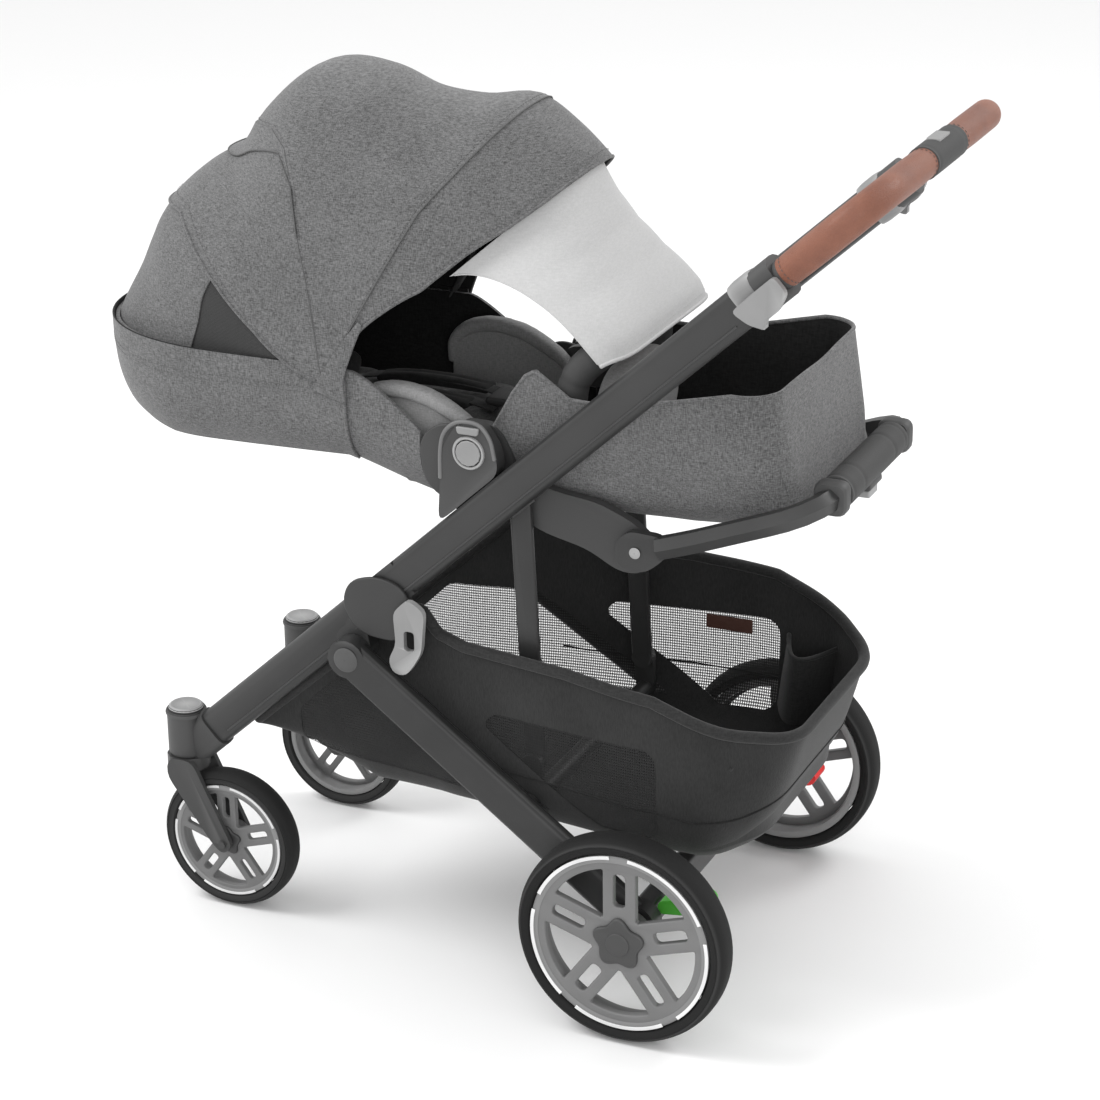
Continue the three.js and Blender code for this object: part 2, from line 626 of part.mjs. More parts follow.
// ---------- seat base, boot and leg rest ----------
function tub(profile, section, plan, inset) {
  return sideSlab(profile(inset), -220, 220, 3)
    .intersect(frontSlab(section(inset), -60, 520, 3))
    .intersect(planSlab(plan(inset), 540, 900, 4));
}

const sideSection = (inset) => roundedShape([
  [158 - inset, 860, 1], [-158 + inset, 860, 1], [-158 + inset, 690], [-144 + inset, 664],
      [-144 + inset, 560, 1],
  [144 - inset, 560, 1], [144 - inset, 664], [158 - inset, 690],
], 14);

const seatPlan = () => roundedShape([[-200, 20], [200, 20], [200, KNEE.y], [-200, KNEE.y]], 1);
const seatProfile = (inset) => roundedShape([
  [24, 604 + inset], [120, 598 + inset], [300, 600 + inset], [300, 757 + inset * 20], [237,
      757 + inset * 20],
  [165, 753 + inset * 20], [119, 785 + inset * 20], [90, 754 + inset * 20], [82, 700], [82, 658], [24,
      640 + inset],
], 14);
const seatShell = tub(seatProfile, sideSection, seatPlan, 0)
  .subtract(tub(seatProfile, sideSection, seatPlan, SHELL_WALL));
add('seat_shell', seatShell, 'melange');

const BOOT_START = KNEE.y + 8;
const BOOT_END = 436;
const bootPlan = (inset) => roundedShape([
  [-200, BOOT_START - (inset ? 40 : 0)], [200, BOOT_START - (inset ? 40 : 0)], [200, 362 - inset],
  [136 - inset, BOOT_END - inset, 40], [-136 + inset, BOOT_END - inset, 40], [-200, 362 - inset],
], 1);
const bootProfile = (inset) => roundedShape([
  [BOOT_START - 60, 606 + inset], [300, 606 + inset], [420 - inset, 618 + inset],
  [BOOT_END - inset, 640 + inset], [418 - inset, 674], [396 - inset, 787 + inset * 15, 4],
  [319, 773 + inset * 20], [BOOT_START - 60, 757 + inset * 20],
], 16);
const boot = tub(bootProfile, sideSection, bootPlan, 0)
  .subtract(tub(bootProfile, sideSection, bootPlan, SHELL_WALL));
add('boot', boot, 'melange');

const LEG_TUBE_X = 167;
const LEG_TUBE_RADIUS = 14.5;
const LEG_TUBE_BEND = 58;
const FOOT_BAR = { y: 457, z: 665 };
const FOOT_PAD_HALF = 98;
function legRestTube() {
  const at = (x, y, z) => new THREE.Vector3(x, y, z);
  const path = roundedPath([
    at(LEG_TUBE_X, 266, 593), at(LEG_TUBE_X, 300, 604), at(LEG_TUBE_X, FOOT_BAR.y, FOOT_BAR.z),
    at(-LEG_TUBE_X, FOOT_BAR.y, FOOT_BAR.z), at(-LEG_TUBE_X, 300, 604), at(-LEG_TUBE_X, 266, 593),
  ], LEG_TUBE_BEND);
  const tube = sweep(path, discShape(LEG_TUBE_RADIUS), 34, 3);
  const lug = roundedShape([
    [KNEE.y - 24, KNEE.z - 20], [KNEE.y + 10, KNEE.z - 26], [KNEE.y + 40, KNEE.z], [KNEE.y + 34,
        KNEE.z + 24],
    [KNEE.y - 10, KNEE.z + 26], [KNEE.y - 26, KNEE.z + 8],
  ], 22);
  const inner = ARM_OUTER_X + RUNNING_GAP;
  return tube.add(sideSlab(lug, inner, inner + 12, 4)).add(sideSlab(lug, -inner - 12, -inner, 4));
}
add('leg_rest_tube', legRestTube(), 'frame');

function footBarPad() {
  const ring = discShape(21.5, FOOT_BAR.y, FOOT_BAR.z);
  ring.holes.push(discShape(LEG_TUBE_RADIUS + 0.7, FOOT_BAR.y, FOOT_BAR.z));
  return sideSlab(ring, -FOOT_PAD_HALF, FOOT_PAD_HALF, 8);
}
add('foot_bar_pad', footBarPad(), 'plastic');
add('leg_rest_button', block(-16, 16, FOOT_BAR.y - 4, FOOT_BAR.y + 12, FOOT_BAR.z - 35, FOOT_BAR.z - 26), 'trim');

// ---------- bumper bar and knee pad ----------
function bumperBar() {
  const at = (x, y, z) => new THREE.Vector3(x, y, z);
  const path = roundedPath([
    at(130, 141, 714), at(130, 141, 775), at(112, 184, 812), at(-112, 184, 812), at(-130, 141, 775),
        at(-130, 141, 714),
  ], 40);
  return sweep(path, discShape(17), 34, 4);
}
add('bumper_bar', bumperBar(), 'leather');

// The seat's liner rises at its end into a rounded knee pad.
function seatLiner() {
  const ball = new THREE.SphereGeometry(1, 16, 10).rotateX(Math.PI / 2).scale(102, 60, 66).translate(0,
      170, 718);
  const knee = toSolid(ball).subtract(block(-150, 150, 0, 300, 600, 660));
  return knee.add(block(-100, 100, 130, 214, 640, 670)).add(block(-118, 118, 30, 232, 616, 644));
}
add('seat_liner', seatLiner(), 'padding');

// ---------- handle ----------
const COLLAR_START = alongTube(TUBE_HEAD, GAP);
const COLLAR_TOP = alongTube(TUBE_HEAD, COLLAR_LENGTH);
function handleCollar() {
  const ring = ovalShape(TUBE_WIDTH + 14, TUBE_DEPTH + 4);
  ring.holes.push(discShape(STEM_BORE_RADIUS + 0.6));
  return member(COLLAR_START, COLLAR_TOP, ring, 4);
}
addPair('handle_collar', handleCollar(), 'plastic');

const outward = (point) => point.clone().setX(point.x + STEM_OFFSET);
const stemStart = outward(alongTube(TUBE_HEAD, -TELESCOPE_BORE + 10));
const barCorner = outward(tubeAt(HANDLE_BAR_Y));
const flipX = (v) => new THREE.Vector3(-v.x, v.y, v.z);
const leatherStart = outward(alongTube(TUBE_HEAD, COLLAR_LENGTH + 6));
const CENTRE_HALF = 52;
const BAR_BEND = 62;

const corePath = roundedPath([stemStart, barCorner, flipX(barCorner), flipX(stemStart)], BAR_BEND);
add('handle_bar', sweep(corePath, discShape(STEM_RADIUS), 48), 'frame');

function leatherSleeve() {
  const ring = discShape(GRIP_RADIUS);
  ring.holes.push(discShape(STEM_RADIUS + 2.5));
  const end = new THREE.Vector3(CENTRE_HALF + GAP, barCorner.y, barCorner.z);
  return sweep(roundedPath([leatherStart, barCorner, end], BAR_BEND), ring, 15, 4);
}
addPair('handle_leather', leatherSleeve(), 'leather');

const BUTTON_TRAVEL = 4;
function centreGrip() {
  const { y, z } = barCorner;
  const ring = discShape(GRIP_RADIUS + 1.5, y, z);
  ring.holes.push(discShape(STEM_RADIUS + 1, y, z));
  return sideSlab(ring, -CENTRE_HALF, CENTRE_HALF, 8).subtract(block(-20, 20, y - 9, y + 9,
      z + STEM_RADIUS + 0.5, z + 40));
}
add('centre_grip', centreGrip(), 'plastic');
const buttonBase = barCorner.z + STEM_RADIUS + 0.8 + BUTTON_TRAVEL;
add('telescope_button', block(-19, 19, barCorner.y - 8, barCorner.y + 8, buttonBase, buttonBase + 6),
    'trim');

function foldTrigger() {
  const outline = roundedShape([
    [382, 916], [402, 904], [424, 900], [422, 912], [436, 922], [446, 944], [430, 962], [404, 938],
  ], 7);
  const outer = TUBE_HEAD.x + TUBE_WIDTH / 2 + 9.5;
  return sideSlab(outline, outer, outer + 8, 3);
}
addPair('fold_trigger', foldTrigger(), 'trim');

// ---------- storage latch ----------
function storageLatch() {
  const outline = roundedShape([
    [-72, 408], [-66, 392], [-50, 390.5], [-40, 402], [-27, 424], [-22, 478], [-44, 492], [-64, 472],
        [-61, 430],
  ], 9);
  outline.holes.push(roundedShape([[-50, 424], [-50, 450], [-36, 450], [-36, 424]], 5));
  return sideSlab(outline, REAR_LEG_PIVOT.x - 4, REAR_LEG_PIVOT.x + 4, 3);
}
add('storage_latch', storageLatch(), 'trim');

// ---------- basket ----------
const BASKET_WALL = 5;
const basketPlan = (inset) => roundedShape([
  [150 - inset, -330 + inset, 1], [152 - inset, -150], [176 - inset, -30], [203 - inset, 170],
      [214 - inset, 250],
  [204 - inset, 360, 40], [130 - inset, 430 - inset, 60], [-130 + inset, 430 - inset, 60],
      [-204 + inset, 360, 40],
  [-214 + inset, 250], [-203 + inset, 170], [-176 + inset, -30], [-152 + inset, -150], [-150 + inset,
      -330 + inset, 1],
], 30);
const basketProfile = (inset) => roundedShape([
  [-290 + inset * 2, 260], [-231, 236 + inset], [-133, 190 + inset], [35, 196 + inset], [320, 192 + inset],
  [388 - inset, 214 + inset, 30], [430 - inset, 357 + inset * 10, 1], [357, 381 + inset * 10],
  [275, 415 + inset * 10], [160, 427 + inset * 10], [-6, 432 + inset * 10], [-34, 470 + inset * 8],
  [-62, 468 + inset * 8], [-155, 384 + inset * 6],
], 18);
function basket() {
  const outer = sideSlab(basketProfile(0), -240, 240, 3).intersect(planSlab(basketPlan(0), 150, 600, 4));
  const inner = sideSlab(basketProfile(BASKET_WALL), -240, 240, 3)
    .intersect(planSlab(basketPlan(BASKET_WALL), 150, 700, 4));
  return outer.subtract(inner).subtract(pin(-260, 260, CROSS_TUBE.y, CROSS_TUBE.z,
      CROSS_TUBE.radius + 3, 4));
}
add('basket', basket(), 'lining');

export default stroller;
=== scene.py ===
"""Baby stroller: the detailed visual model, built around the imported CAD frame."""

import math

import bmesh
import bpy
import numpy as np
from mathutils import Matrix, Vector, noise


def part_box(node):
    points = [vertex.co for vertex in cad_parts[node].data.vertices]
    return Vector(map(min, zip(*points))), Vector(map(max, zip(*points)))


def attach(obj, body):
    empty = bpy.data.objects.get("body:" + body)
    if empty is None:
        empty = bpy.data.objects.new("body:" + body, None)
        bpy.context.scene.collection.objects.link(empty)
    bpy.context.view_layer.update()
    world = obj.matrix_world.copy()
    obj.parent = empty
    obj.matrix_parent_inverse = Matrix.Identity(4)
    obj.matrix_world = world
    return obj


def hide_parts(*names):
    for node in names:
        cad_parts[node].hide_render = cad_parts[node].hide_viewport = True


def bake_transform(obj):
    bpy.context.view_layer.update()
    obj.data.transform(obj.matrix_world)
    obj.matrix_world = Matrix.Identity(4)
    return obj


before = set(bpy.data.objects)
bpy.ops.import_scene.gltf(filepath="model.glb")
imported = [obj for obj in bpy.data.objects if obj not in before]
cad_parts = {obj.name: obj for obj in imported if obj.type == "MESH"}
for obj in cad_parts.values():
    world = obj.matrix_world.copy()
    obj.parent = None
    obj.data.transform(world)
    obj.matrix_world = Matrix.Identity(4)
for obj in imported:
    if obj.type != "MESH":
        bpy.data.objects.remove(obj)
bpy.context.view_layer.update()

SHIFT_Y = -12.8  # mm, the CAD's own centring shift
MM = 0.001
SIDES = (("left", 1), ("right", -1))


def at(x, y, z):
    """A point given in the CAD source's millimetres, in metres in the row frame."""
    return np.array((x, y + SHIFT_Y, z), float) * MM


# ---------- camera, floor and light ----------
# These values come from a least-squares fit of the camera.
CAMERA_AZIMUTH, CAMERA_ELEVATION, CAMERA_ROLL = map(math.radians, (114.51, 22.116, -0.686))
CAMERA_DISTANCE = 3.8824
CAMERA_TARGET = Vector((0, 0.0387, 0.4943))
CAMERA_FOV = math.radians(19.922)


def make_camera():
    a, e = CAMERA_AZIMUTH, CAMERA_ELEVATION
    back = Vector((math.sin(a) * math.cos(e), -math.cos(a) * math.cos(e), math.sin(e)))
    right = (-back).cross(Vector((0, 0, 1))).normalized()
    up = back.cross(right)
    c, s = math.cos(CAMERA_ROLL), math.sin(CAMERA_ROLL)
    right, up = c * right + s * up, -s * right + c * up
    data = bpy.data.cameras.new("camera")
    data.sensor_width = 36
    data.lens = 18 / math.tan(CAMERA_FOV / 2)
    camera = bpy.data.objects.new("camera", data)
    bpy.context.scene.collection.objects.link(camera)
    turn = Matrix((right, up, back)).transposed().to_4x4()
    camera.matrix_world = Matrix.Translation(CAMERA_TARGET + back * CAMERA_DISTANCE) @ turn
    bpy.context.scene.camera = camera


def make_light(name, place, target, size, power):
    data = bpy.data.lights.new(name, "AREA")
    data.shape, data.size, data.energy = "DISK", size, power
    light = bpy.data.objects.new(name, data)
    bpy.context.scene.collection.objects.link(light)
    light.location = place
    light.rotation_euler = (Vector(target) - Vector(place)).to_track_quat("-Z", "Y").to_euler()


def make_world():
    world = bpy.data.worlds.new("studio")
    world.use_nodes = True
    background = world.node_tree.nodes["Background"]
    background.inputs["Color"].default_value = (1, 1, 1, 1)
    background.inputs["Strength"].default_value = 1.0
    bpy.context.scene.world = world
    bpy.context.scene.view_settings.view_transform = "Standard"


# ---------- materials ----------
class Finish:
    """A Principled material with a few short ways to add nodes."""

    def __init__(self, name, color, roughness, **sockets):
        self.material = bpy.data.materials.new(name)
        self.material.use_nodes = True
        self.tree = self.material.node_tree
        self.shader = self.tree.nodes["Principled BSDF"]
        self.shader.inputs["Base Color"].default_value = (*color, 1)
        self.shader.inputs["Roughness"].default_value = roughness
        for socket, value in sockets.items():
            self.shader.inputs[socket.replace("_", " ")].default_value = value
        self.place = self.node("ShaderNodeTexCoord").outputs["Object"]

    def node(self, kind, inputs=None, **values):
        made = self.tree.nodes.new(kind)
        for key, value in values.items():
            setattr(made, key, value)
        for key, value in (inputs or {}).items():
            if isinstance(value, bpy.types.NodeSocket):
                self.tree.links.new(value, made.inputs[key])
            else:
                made.inputs[key].default_value = value
        return made

    def noise(self, scale, stretch=(1, 1, 1), detail=2.0, roughness=0.5):
        mapped = self.node("ShaderNodeMapping", {"Vector": self.place, "Scale": stretch})
        made = self.node("ShaderNodeTexNoise", {
            "Vector": mapped.outputs["Vector"], "Scale": scale, "Detail": detail, "Roughness": roughness})
        return made.outputs["Fac"]

    def math(self, operation, a, b=0.5):
        return self.node("ShaderNodeMath", {0: a, 1: b}, operation=operation).outputs[0]

    def ramp(self, value, stops):
        made = self.node("ShaderNodeValToRGB", {"Fac": value})
        elements = made.color_ramp.elements
        while len(elements) < len(stops):
            elements.new(0.5)
        for element, (position, color) in zip(elements, stops):
            element.position = position
            element.color = (*color, 1) if hasattr(color, "__len__") else (color, color, color, 1)
        return made.outputs["Color"]

    def base(self, color):
        self.tree.links.new(color, self.shader.inputs["Base Color"])

    def rough(self, value, low, high):
        ranged = self.node("ShaderNodeMapRange", {"Value": value, "To Min": low, "To Max": high})
        self.tree.links.new(ranged.outputs["Result"], self.shader.inputs["Roughness"])

    def bump(self, height, distance, strength=1.0):
        made = self.node("ShaderNodeBump", {"Height": height, "Distance": distance, "Strength": strength})
        self.tree.links.new(made.outputs["Normal"], self.shader.inputs["Normal"])


def grey(level, tint=(1.0, 1.0, 1.0)):
    return tuple(level * t for t in tint)


def woven(name, dark, light, thread=760, streak=0.2, roughness=0.92, contrast=(0.34, 0.66), relief=0.0005,
          sheen=0.15):
    """Heathered cloth: light and dark threads that run two ways, over a slow change of shade."""
    finish = Finish(name, light, roughness, Sheen_Weight=sheen, Sheen_Roughness=0.5, Specular_IOR_Level=0.25)
    upright = finish.noise(thread, (1, 1, streak), 3)
    across = finish.noise(thread, (streak, streak, 1), 3)
    mixed = finish.math("MULTIPLY", finish.math("ADD", upright, across), 0.5)
    slow = finish.noise(9, detail=3)
    shifted = finish.math("ADD", mixed, finish.math("MULTIPLY", finish.math("SUBTRACT", slow, 0.5), 0.16))
    middle = tuple((d + l) / 2 for d, l in zip(dark, light))
    finish.base(finish.ramp(shifted, [(contrast[0], dark), (0.5, middle), (contrast[1], light)]))
    finish.bump(mixed, relief)
    return finish


def moulded(name, color, roughness=0.55, grain=1400, relief=0.00012, **sockets):
    """Moulded plastic or painted metal: fine grain, uneven gloss and paler worn edges."""
    finish = Finish(name, color, roughness, **sockets)
    fine = finish.noise(grain, detail=2)
    slow = finish.noise(14, detail=3)
    point = finish.node("ShaderNodeNewGeometry").outputs["Pointiness"]
    worn = finish.ramp(point, [(0.50, 0.0), (0.58, 1.0)])
    shade = finish.ramp(slow, [(0.3, tuple(c * 0.88 for c in color)),
                               (0.7, tuple(min(1, c * 1.12) for c in color))])
    paler = tuple(min(1, c * 1.5 + 0.02) for c in color)
    color_a, color_b = 6, 7  # the Mix node's colour inputs
    mix = finish.node("ShaderNodeMix", {"Factor": worn, color_a: shade, color_b: (*paler, 1)},
                      data_type="RGBA")
    finish.base(mix.outputs[2])
    finish.rough(slow, roughness - 0.06, roughness + 0.08)
    finish.bump(fine, relief)
    return finish


def leather():
    finish = Finish("leather", (0.22, 0.082, 0.050), 0.55, Specular_IOR_Level=0.4, Coat_Weight=0.05)
    cells = finish.node("ShaderNodeTexVoronoi", {"Vector": finish.place, "Scale": 620.0},
                        feature="DISTANCE_TO_EDGE").outputs["Distance"]
    slow = finish.noise(22, detail=4)
    fine = finish.noise(500, detail=3)
    tone = finish.math("ADD", finish.math("MULTIPLY", slow, 0.8), finish.math("MULTIPLY", fine, 0.2))
    finish.base(finish.ramp(tone, [(0.3, (0.155, 0.056, 0.034)), (0.55, (0.215, 0.083, 0.050)),
                                   (0.8, (0.275, 0.115, 0.072))]))
    finish.rough(slow, 0.48, 0.64)
    finish.bump(finish.math("ADD", finish.math("MULTIPLY", cells, 1.2), fine), 0.0005)
    return finish


def netting(name, color, pitch, cover, behind):
    """Mesh cloth over a darker backing."""
    finish = Finish(name, color, 0.8, Specular_IOR_Level=0.2)
    split = finish.node("ShaderNodeSeparateXYZ", {"Vector": finish.place})
    turn = 2 * math.pi / pitch
    waves = [finish.math("ABSOLUTE", finish.math("SINE",
                                                 finish.math("MULTIPLY", split.outputs[axis], turn / 2)))
             for axis in ("Y", "Z")]
    web = finish.math("MINIMUM", *waves)
    thread = finish.ramp(web, [(cover - 0.08, 1.0), (cover + 0.08, 0.0)])
    finish.bump(thread, 0.0004)
    finish.base(finish.ramp(thread, [(0.2, behind), (0.8, color)]))
    return finish


def make_materials():
    made = {
        "melange": woven("melange", grey(0.045), grey(0.175, (1, 1, 1.01)), thread=880),
        "melange_dark": woven("melange_dark", grey(0.04), grey(0.12)),
        "padding": woven("padding", grey(0.18), grey(0.30), thread=820, contrast=(0.3, 0.7), relief=0.0004),
        "shade": woven("shade", grey(0.40), grey(0.50), thread=700, contrast=(0.25, 0.75), relief=0.0002,
                       roughness=0.8),
        "lining": woven("lining", grey(0.006), grey(0.017), thread=560, relief=0.0004, sheen=0.05),
        "basket_cloth": woven("basket_cloth", grey(0.011), grey(0.026), thread=640, relief=0.0004, sheen=0.1,
                              roughness=0.8),
        "webbing": woven("webbing", grey(0.006), grey(0.02), thread=900, streak=0.5, sheen=0.1),
        "frame": moulded("frame", grey(0.028), 0.42, grain=2200, relief=0.00006, Metallic=0.35),
        "plastic": moulded("plastic", grey(0.026), 0.55),
        "foam": moulded("foam", grey(0.03), 0.72, grain=900, relief=0.0003),
        "rim": moulded("rim", grey(0.125), 0.5, grain=1800),
        "hub_cap": moulded("hub_cap", grey(0.03), 0.5),
        "trim": moulded("trim", grey(0.19), 0.48, grain=1800),
        "reflector": moulded("reflector", grey(0.62), 0.3, grain=2400, relief=0.00005),
        "tyre": moulded("tyre", grey(0.0075), 0.78, grain=800, relief=0.0003, Specular_IOR_Level=0.3),
        "brake_red": moulded("brake_red", (0.52, 0.01, 0.01), 0.45),
        "brake_green": moulded("brake_green", (0.06, 0.36, 0.03), 0.45),
        "trim_dark": moulded("trim_dark", grey(0.085), 0.5),
        "label_leather": moulded("label_leather", (0.06, 0.022, 0.014), 0.6, grain=600, relief=0.0003),
        "leather": leather(),
        "mesh_window": netting("mesh_window", grey(0.055), 0.0017, 0.5, behind=grey(0.03)),
        "thread": moulded("thread", grey(0.05), 0.8),
    }
    return {name: finish.material for name, finish in made.items()}


# ---------- mesh tools; points are in the CAD source's millimetres ----------
def curve_through(points, count, closed=False):
    """A smooth Catmull-Rom line through the points, evenly spaced."""
    p = np.array(points, float)
    if closed:
        p = np.vstack([p[-1], p, p[0], p[1]])
    else:
        p = np.vstack([2 * p[0] - p[1], p, 2 * p[-1] - p[-2]])
    out = []
    for i in range(1, len(p) - 2):
        for t in np.linspace(0, 1, 24, endpoint=False):
            out.append(0.5 * (2 * p[i] + (p[i + 1] - p[i - 1]) * t
                              + (2 * p[i - 1] - 5 * p[i] + 4 * p[i + 1] - p[i + 2]) * t ** 2
                              + (3 * p[i] - p[i - 1] - 3 * p[i + 1] + p[i + 2]) * t ** 3))
    out.append(p[-2])
    return even(np.array(out), count)


def even(line, count):
    """count points evenly spaced along a line of points."""
    line = np.array(line, float)
    run = np.concatenate([[0], np.cumsum(np.linalg.norm(np.diff(line, axis=0), axis=1))])
    want = np.linspace(0, run[-1], count)
    return np.stack([np.interp(want, run, line[:, k]) for k in range(line.shape[1])], 1)


def rounded(points, radius, closed=True, steps=6):
    """The points' polygon or line with its corners rounded; a point may end with its own radius."""
    dims = 2 if closed else len(points[0])
    out, count = [], len(points)
    for i, entry in enumerate(points):
        corner = np.array(entry[:dims], float)
        own = entry[dims] if len(entry) > dims else radius
        if not closed and i in (0, count - 1):
            out.append(corner)
            continue
        back = np.array(points[i - 1][:dims], float) - corner
        ahead = np.array(points[(i + 1) % count][:dims], float) - corner
        reach = min(own, np.linalg.norm(back) * 0.49, np.linalg.norm(ahead) * 0.49)
        start = corner + back / np.linalg.norm(back) * reach
        end = corner + ahead / np.linalg.norm(ahead) * reach
        for t in np.linspace(0, 1, steps + 1):
            out.append((1 - t) ** 2 * start + 2 * t * (1 - t) * corner + t ** 2 * end)
    return np.array(out)


def new_object(name, points, faces, materials, face_materials=None, sharp=45):
    mesh = bpy.data.meshes.new(name)
    place = (np.array(points, float) + (0, SHIFT_Y, 0)) * MM
    mesh.from_pydata([tuple(p) for p in place], [], [tuple(int(i) for i in f) for f in faces])
    for m in materials:
        mesh.materials.append(MATERIALS[m])
    if face_materials is not None:
        mesh.polygons.foreach_set("material_index", np.array(face_materials, np.int32))
    mesh.validate()
    mesh.shade_smooth()
    mesh.set_sharp_from_angle(angle=math.radians(sharp))
    made = bpy.data.objects.new(name, mesh)
    bpy.context.scene.collection.objects.link(made)
    return made


def settle(made):
    """Applies the modifiers."""
    depsgraph = bpy.context.evaluated_depsgraph_get()
    mesh = bpy.data.meshes.new_from_object(made.evaluated_get(depsgraph), depsgraph=depsgraph)
    old = made.data
    made.modifiers.clear()
    made.data = mesh
    bpy.data.meshes.remove(old)
    return made


def subdivided(made, levels=1):
    modifier = made.modifiers.new("subdivision", "SUBSURF")
    modifier.levels = modifier.render_levels = levels
    return settle(made)


def joined(name, parts):
    """One object from several."""
    bpy.ops.object.select_all(action="DESELECT")
    for part in parts:
        part.select_set(True)
    bpy.context.view_layer.objects.active = parts[0]
    bpy.ops.object.join()
    parts[0].name = name
    return parts[0]


CUTS = {}  # each sheet's flat width, length and area


def sheet(name, surface, columns, rows, thickness, materials, inside_point):
    """A cloth of that thickness in mm on surface(u, v). Its first material is outside, away from
    inside_point, and its second, if it has one, is inside."""
    us, vs = np.linspace(0, 1, columns + 1), np.linspace(0, 1, rows + 1)
    grid = np.array([[surface(u, v) for u in us] for v in vs])
    du = np.gradient(grid, axis=1)
    dv = np.gradient(grid, axis=0)
    normal = np.cross(du, dv)
    normal /= np.maximum(np.linalg.norm(normal, axis=2, keepdims=True), 1e-9)
    outward = grid - np.array(inside_point, float)
    flip = 1 if np.sum(normal * outward) > 0 else -1
    normal *= flip
    half = normal * thickness / 2
    layers = np.concatenate([(grid + half).reshape(-1, 3), (grid - half).reshape(-1, 3)])
    across, layer = columns + 1, (columns + 1) * (rows + 1)
    faces, kinds = [], []
    inner_kind = 1 if len(materials) > 1 else 0

    def quad(corners, kind):
        faces.append(corners if flip > 0 else corners[::-1])
        kinds.append(kind)

    for r in range(rows):
        for c in range(columns):
            a = r * across + c
            b, d, e = a + 1, a + across, a + across + 1
            quad((a, b, e, d), 0)
            quad((layer + a, layer + d, layer + e, layer + b), inner_kind)
    for c in range(columns):
        last = rows * across + c
        quad((c + 1, c, layer + c, layer + c + 1), 0)
        quad((last, last + 1, layer + last + 1, layer + last), 0)
    for r in range(rows):
        left = r * across
        right = left + columns
        quad((left, left + across, layer + left + across, layer + left), 0)
        quad((right + across, right, layer + right, layer + right + across), 0)
    CUTS[name] = flat_size(grid)
    return new_object(name, layers, faces, materials, kinds, sharp=60)


def flat_size(grid):
    """Longest width and length of a cloth's grid, and its area, in metres."""
    across = np.linalg.norm(np.diff(grid, axis=1), axis=2).sum(axis=1).max()
    along = np.linalg.norm(np.diff(grid, axis=0), axis=2).sum(axis=0).max()
    one, two = grid[1:, 1:] - grid[:-1, :-1], grid[1:, :-1] - grid[:-1, 1:]
    area = np.linalg.norm(np.cross(one, two), axis=2).sum() / 2
    return across * MM, along * MM, float(area) * MM * MM


def declare_sheet(with_pieces=()):
    list(with_pieces)


def frames_along(line, up=None):
    """Tangent, side and normal at each point of a line."""
    tangent = np.gradient(line, axis=0)
    tangent /= np.linalg.norm(tangent, axis=1, keepdims=True)
    side = np.zeros_like(line)
    first = np.array(up if up is not None else (0, 0, 1), float)
    if abs(tangent[0] @ first) > 0.95:
        first = np.array((1.0, 0, 0))
    current = np.cross(first, tangent[0])
    for i, t in enumerate(tangent):
        if up is not None:
            current = np.cross(np.array(up, float), t)
        current = current - (current @ t) * t
        current /= np.linalg.norm(current)
        side[i] = current
    return tangent, side, np.cross(tangent, side)


def ring_faces(rings, count, closed=False, capped=False):
    """Quads between neighbouring rings of count points, and a face over each end if capped."""
    faces = []
    for i in range(rings if closed else rings - 1):
        j = (i + 1) % rings
        for k in range(count):
            m = (k + 1) % count
            faces.append((i * count + k, i * count + m, j * count + m, j * count + k))
    if capped:
        faces.append(tuple(range(count))[::-1])
        faces.append(tuple((rings - 1) * count + k for k in range(count)))
    return faces


def tube(name, line, section, material, up=None, scale=None, dome=0.0, closed=False):
    """A section of (side, normal) points swept along a line; its ends are domed by that many mm."""
    line, section = np.array(line, float), np.array(section, float)
    tangent, side, normal = frames_along(line, up)
    scale = np.ones(len(line)) if scale is None else np.array(scale, float)
    rings = [line[i] + scale[i] * (section[:, :1] * side[i] + section[:, 1:] * normal[i])
             for i in range(len(line))]
    if dome and not closed:
        first, last = rings[0], rings[-1]
        head = [line[0] - tangent[0] * dome * s + (first - line[0]) * math.sqrt(1 - s * s)
                for s in (0.95, 0.75, 0.4)]
        tail = [line[-1] + tangent[-1] * dome * s + (last - line[-1]) * math.sqrt(1 - s * s)
                for s in (0.4, 0.75, 0.95)]
        rings = head + rings + tail
    faces = ring_faces(len(rings), len(section), closed, capped=not closed)
    made = new_object(name, np.concatenate(rings), faces, [material], sharp=50)
    outward(made)
    return made


def outward(made):
    work = bmesh.new()
    work.from_mesh(made.data)
    bmesh.ops.recalc_face_normals(work, faces=work.faces)
    work.to_mesh(made.data)
    work.free()
    made.data.set_sharp_from_angle(angle=math.radians(50))
    return made


def ring_section(radius, count=16, squash=1.0):
    turns = np.linspace(0, 2 * math.pi, count, endpoint=False)
    return np.stack([radius * np.cos(turns), radius * squash * np.sin(turns)], 1)


def box_section(width, depth, corner, steps=5):
    w, d = width / 2, depth / 2
    return rounded([(w, d), (-w, d), (-w, -d), (w, -d)], corner, steps=steps)


def lathe(name, profile, centre, material, segments=96, sharp=35):
    """Turns (radius, x) points about the X axis through centre; the profile is a closed loop."""
    profile = np.array(profile, float)
    turns = np.linspace(0, 2 * math.pi, segments, endpoint=False)
    points = [(x, r * math.cos(t), r * math.sin(t)) for t in turns for r, x in profile]
    faces = ring_faces(segments, len(profile), closed=True)
    made = new_object(name, np.array(points) + centre, faces, [material], sharp=sharp)
    return outward(made)


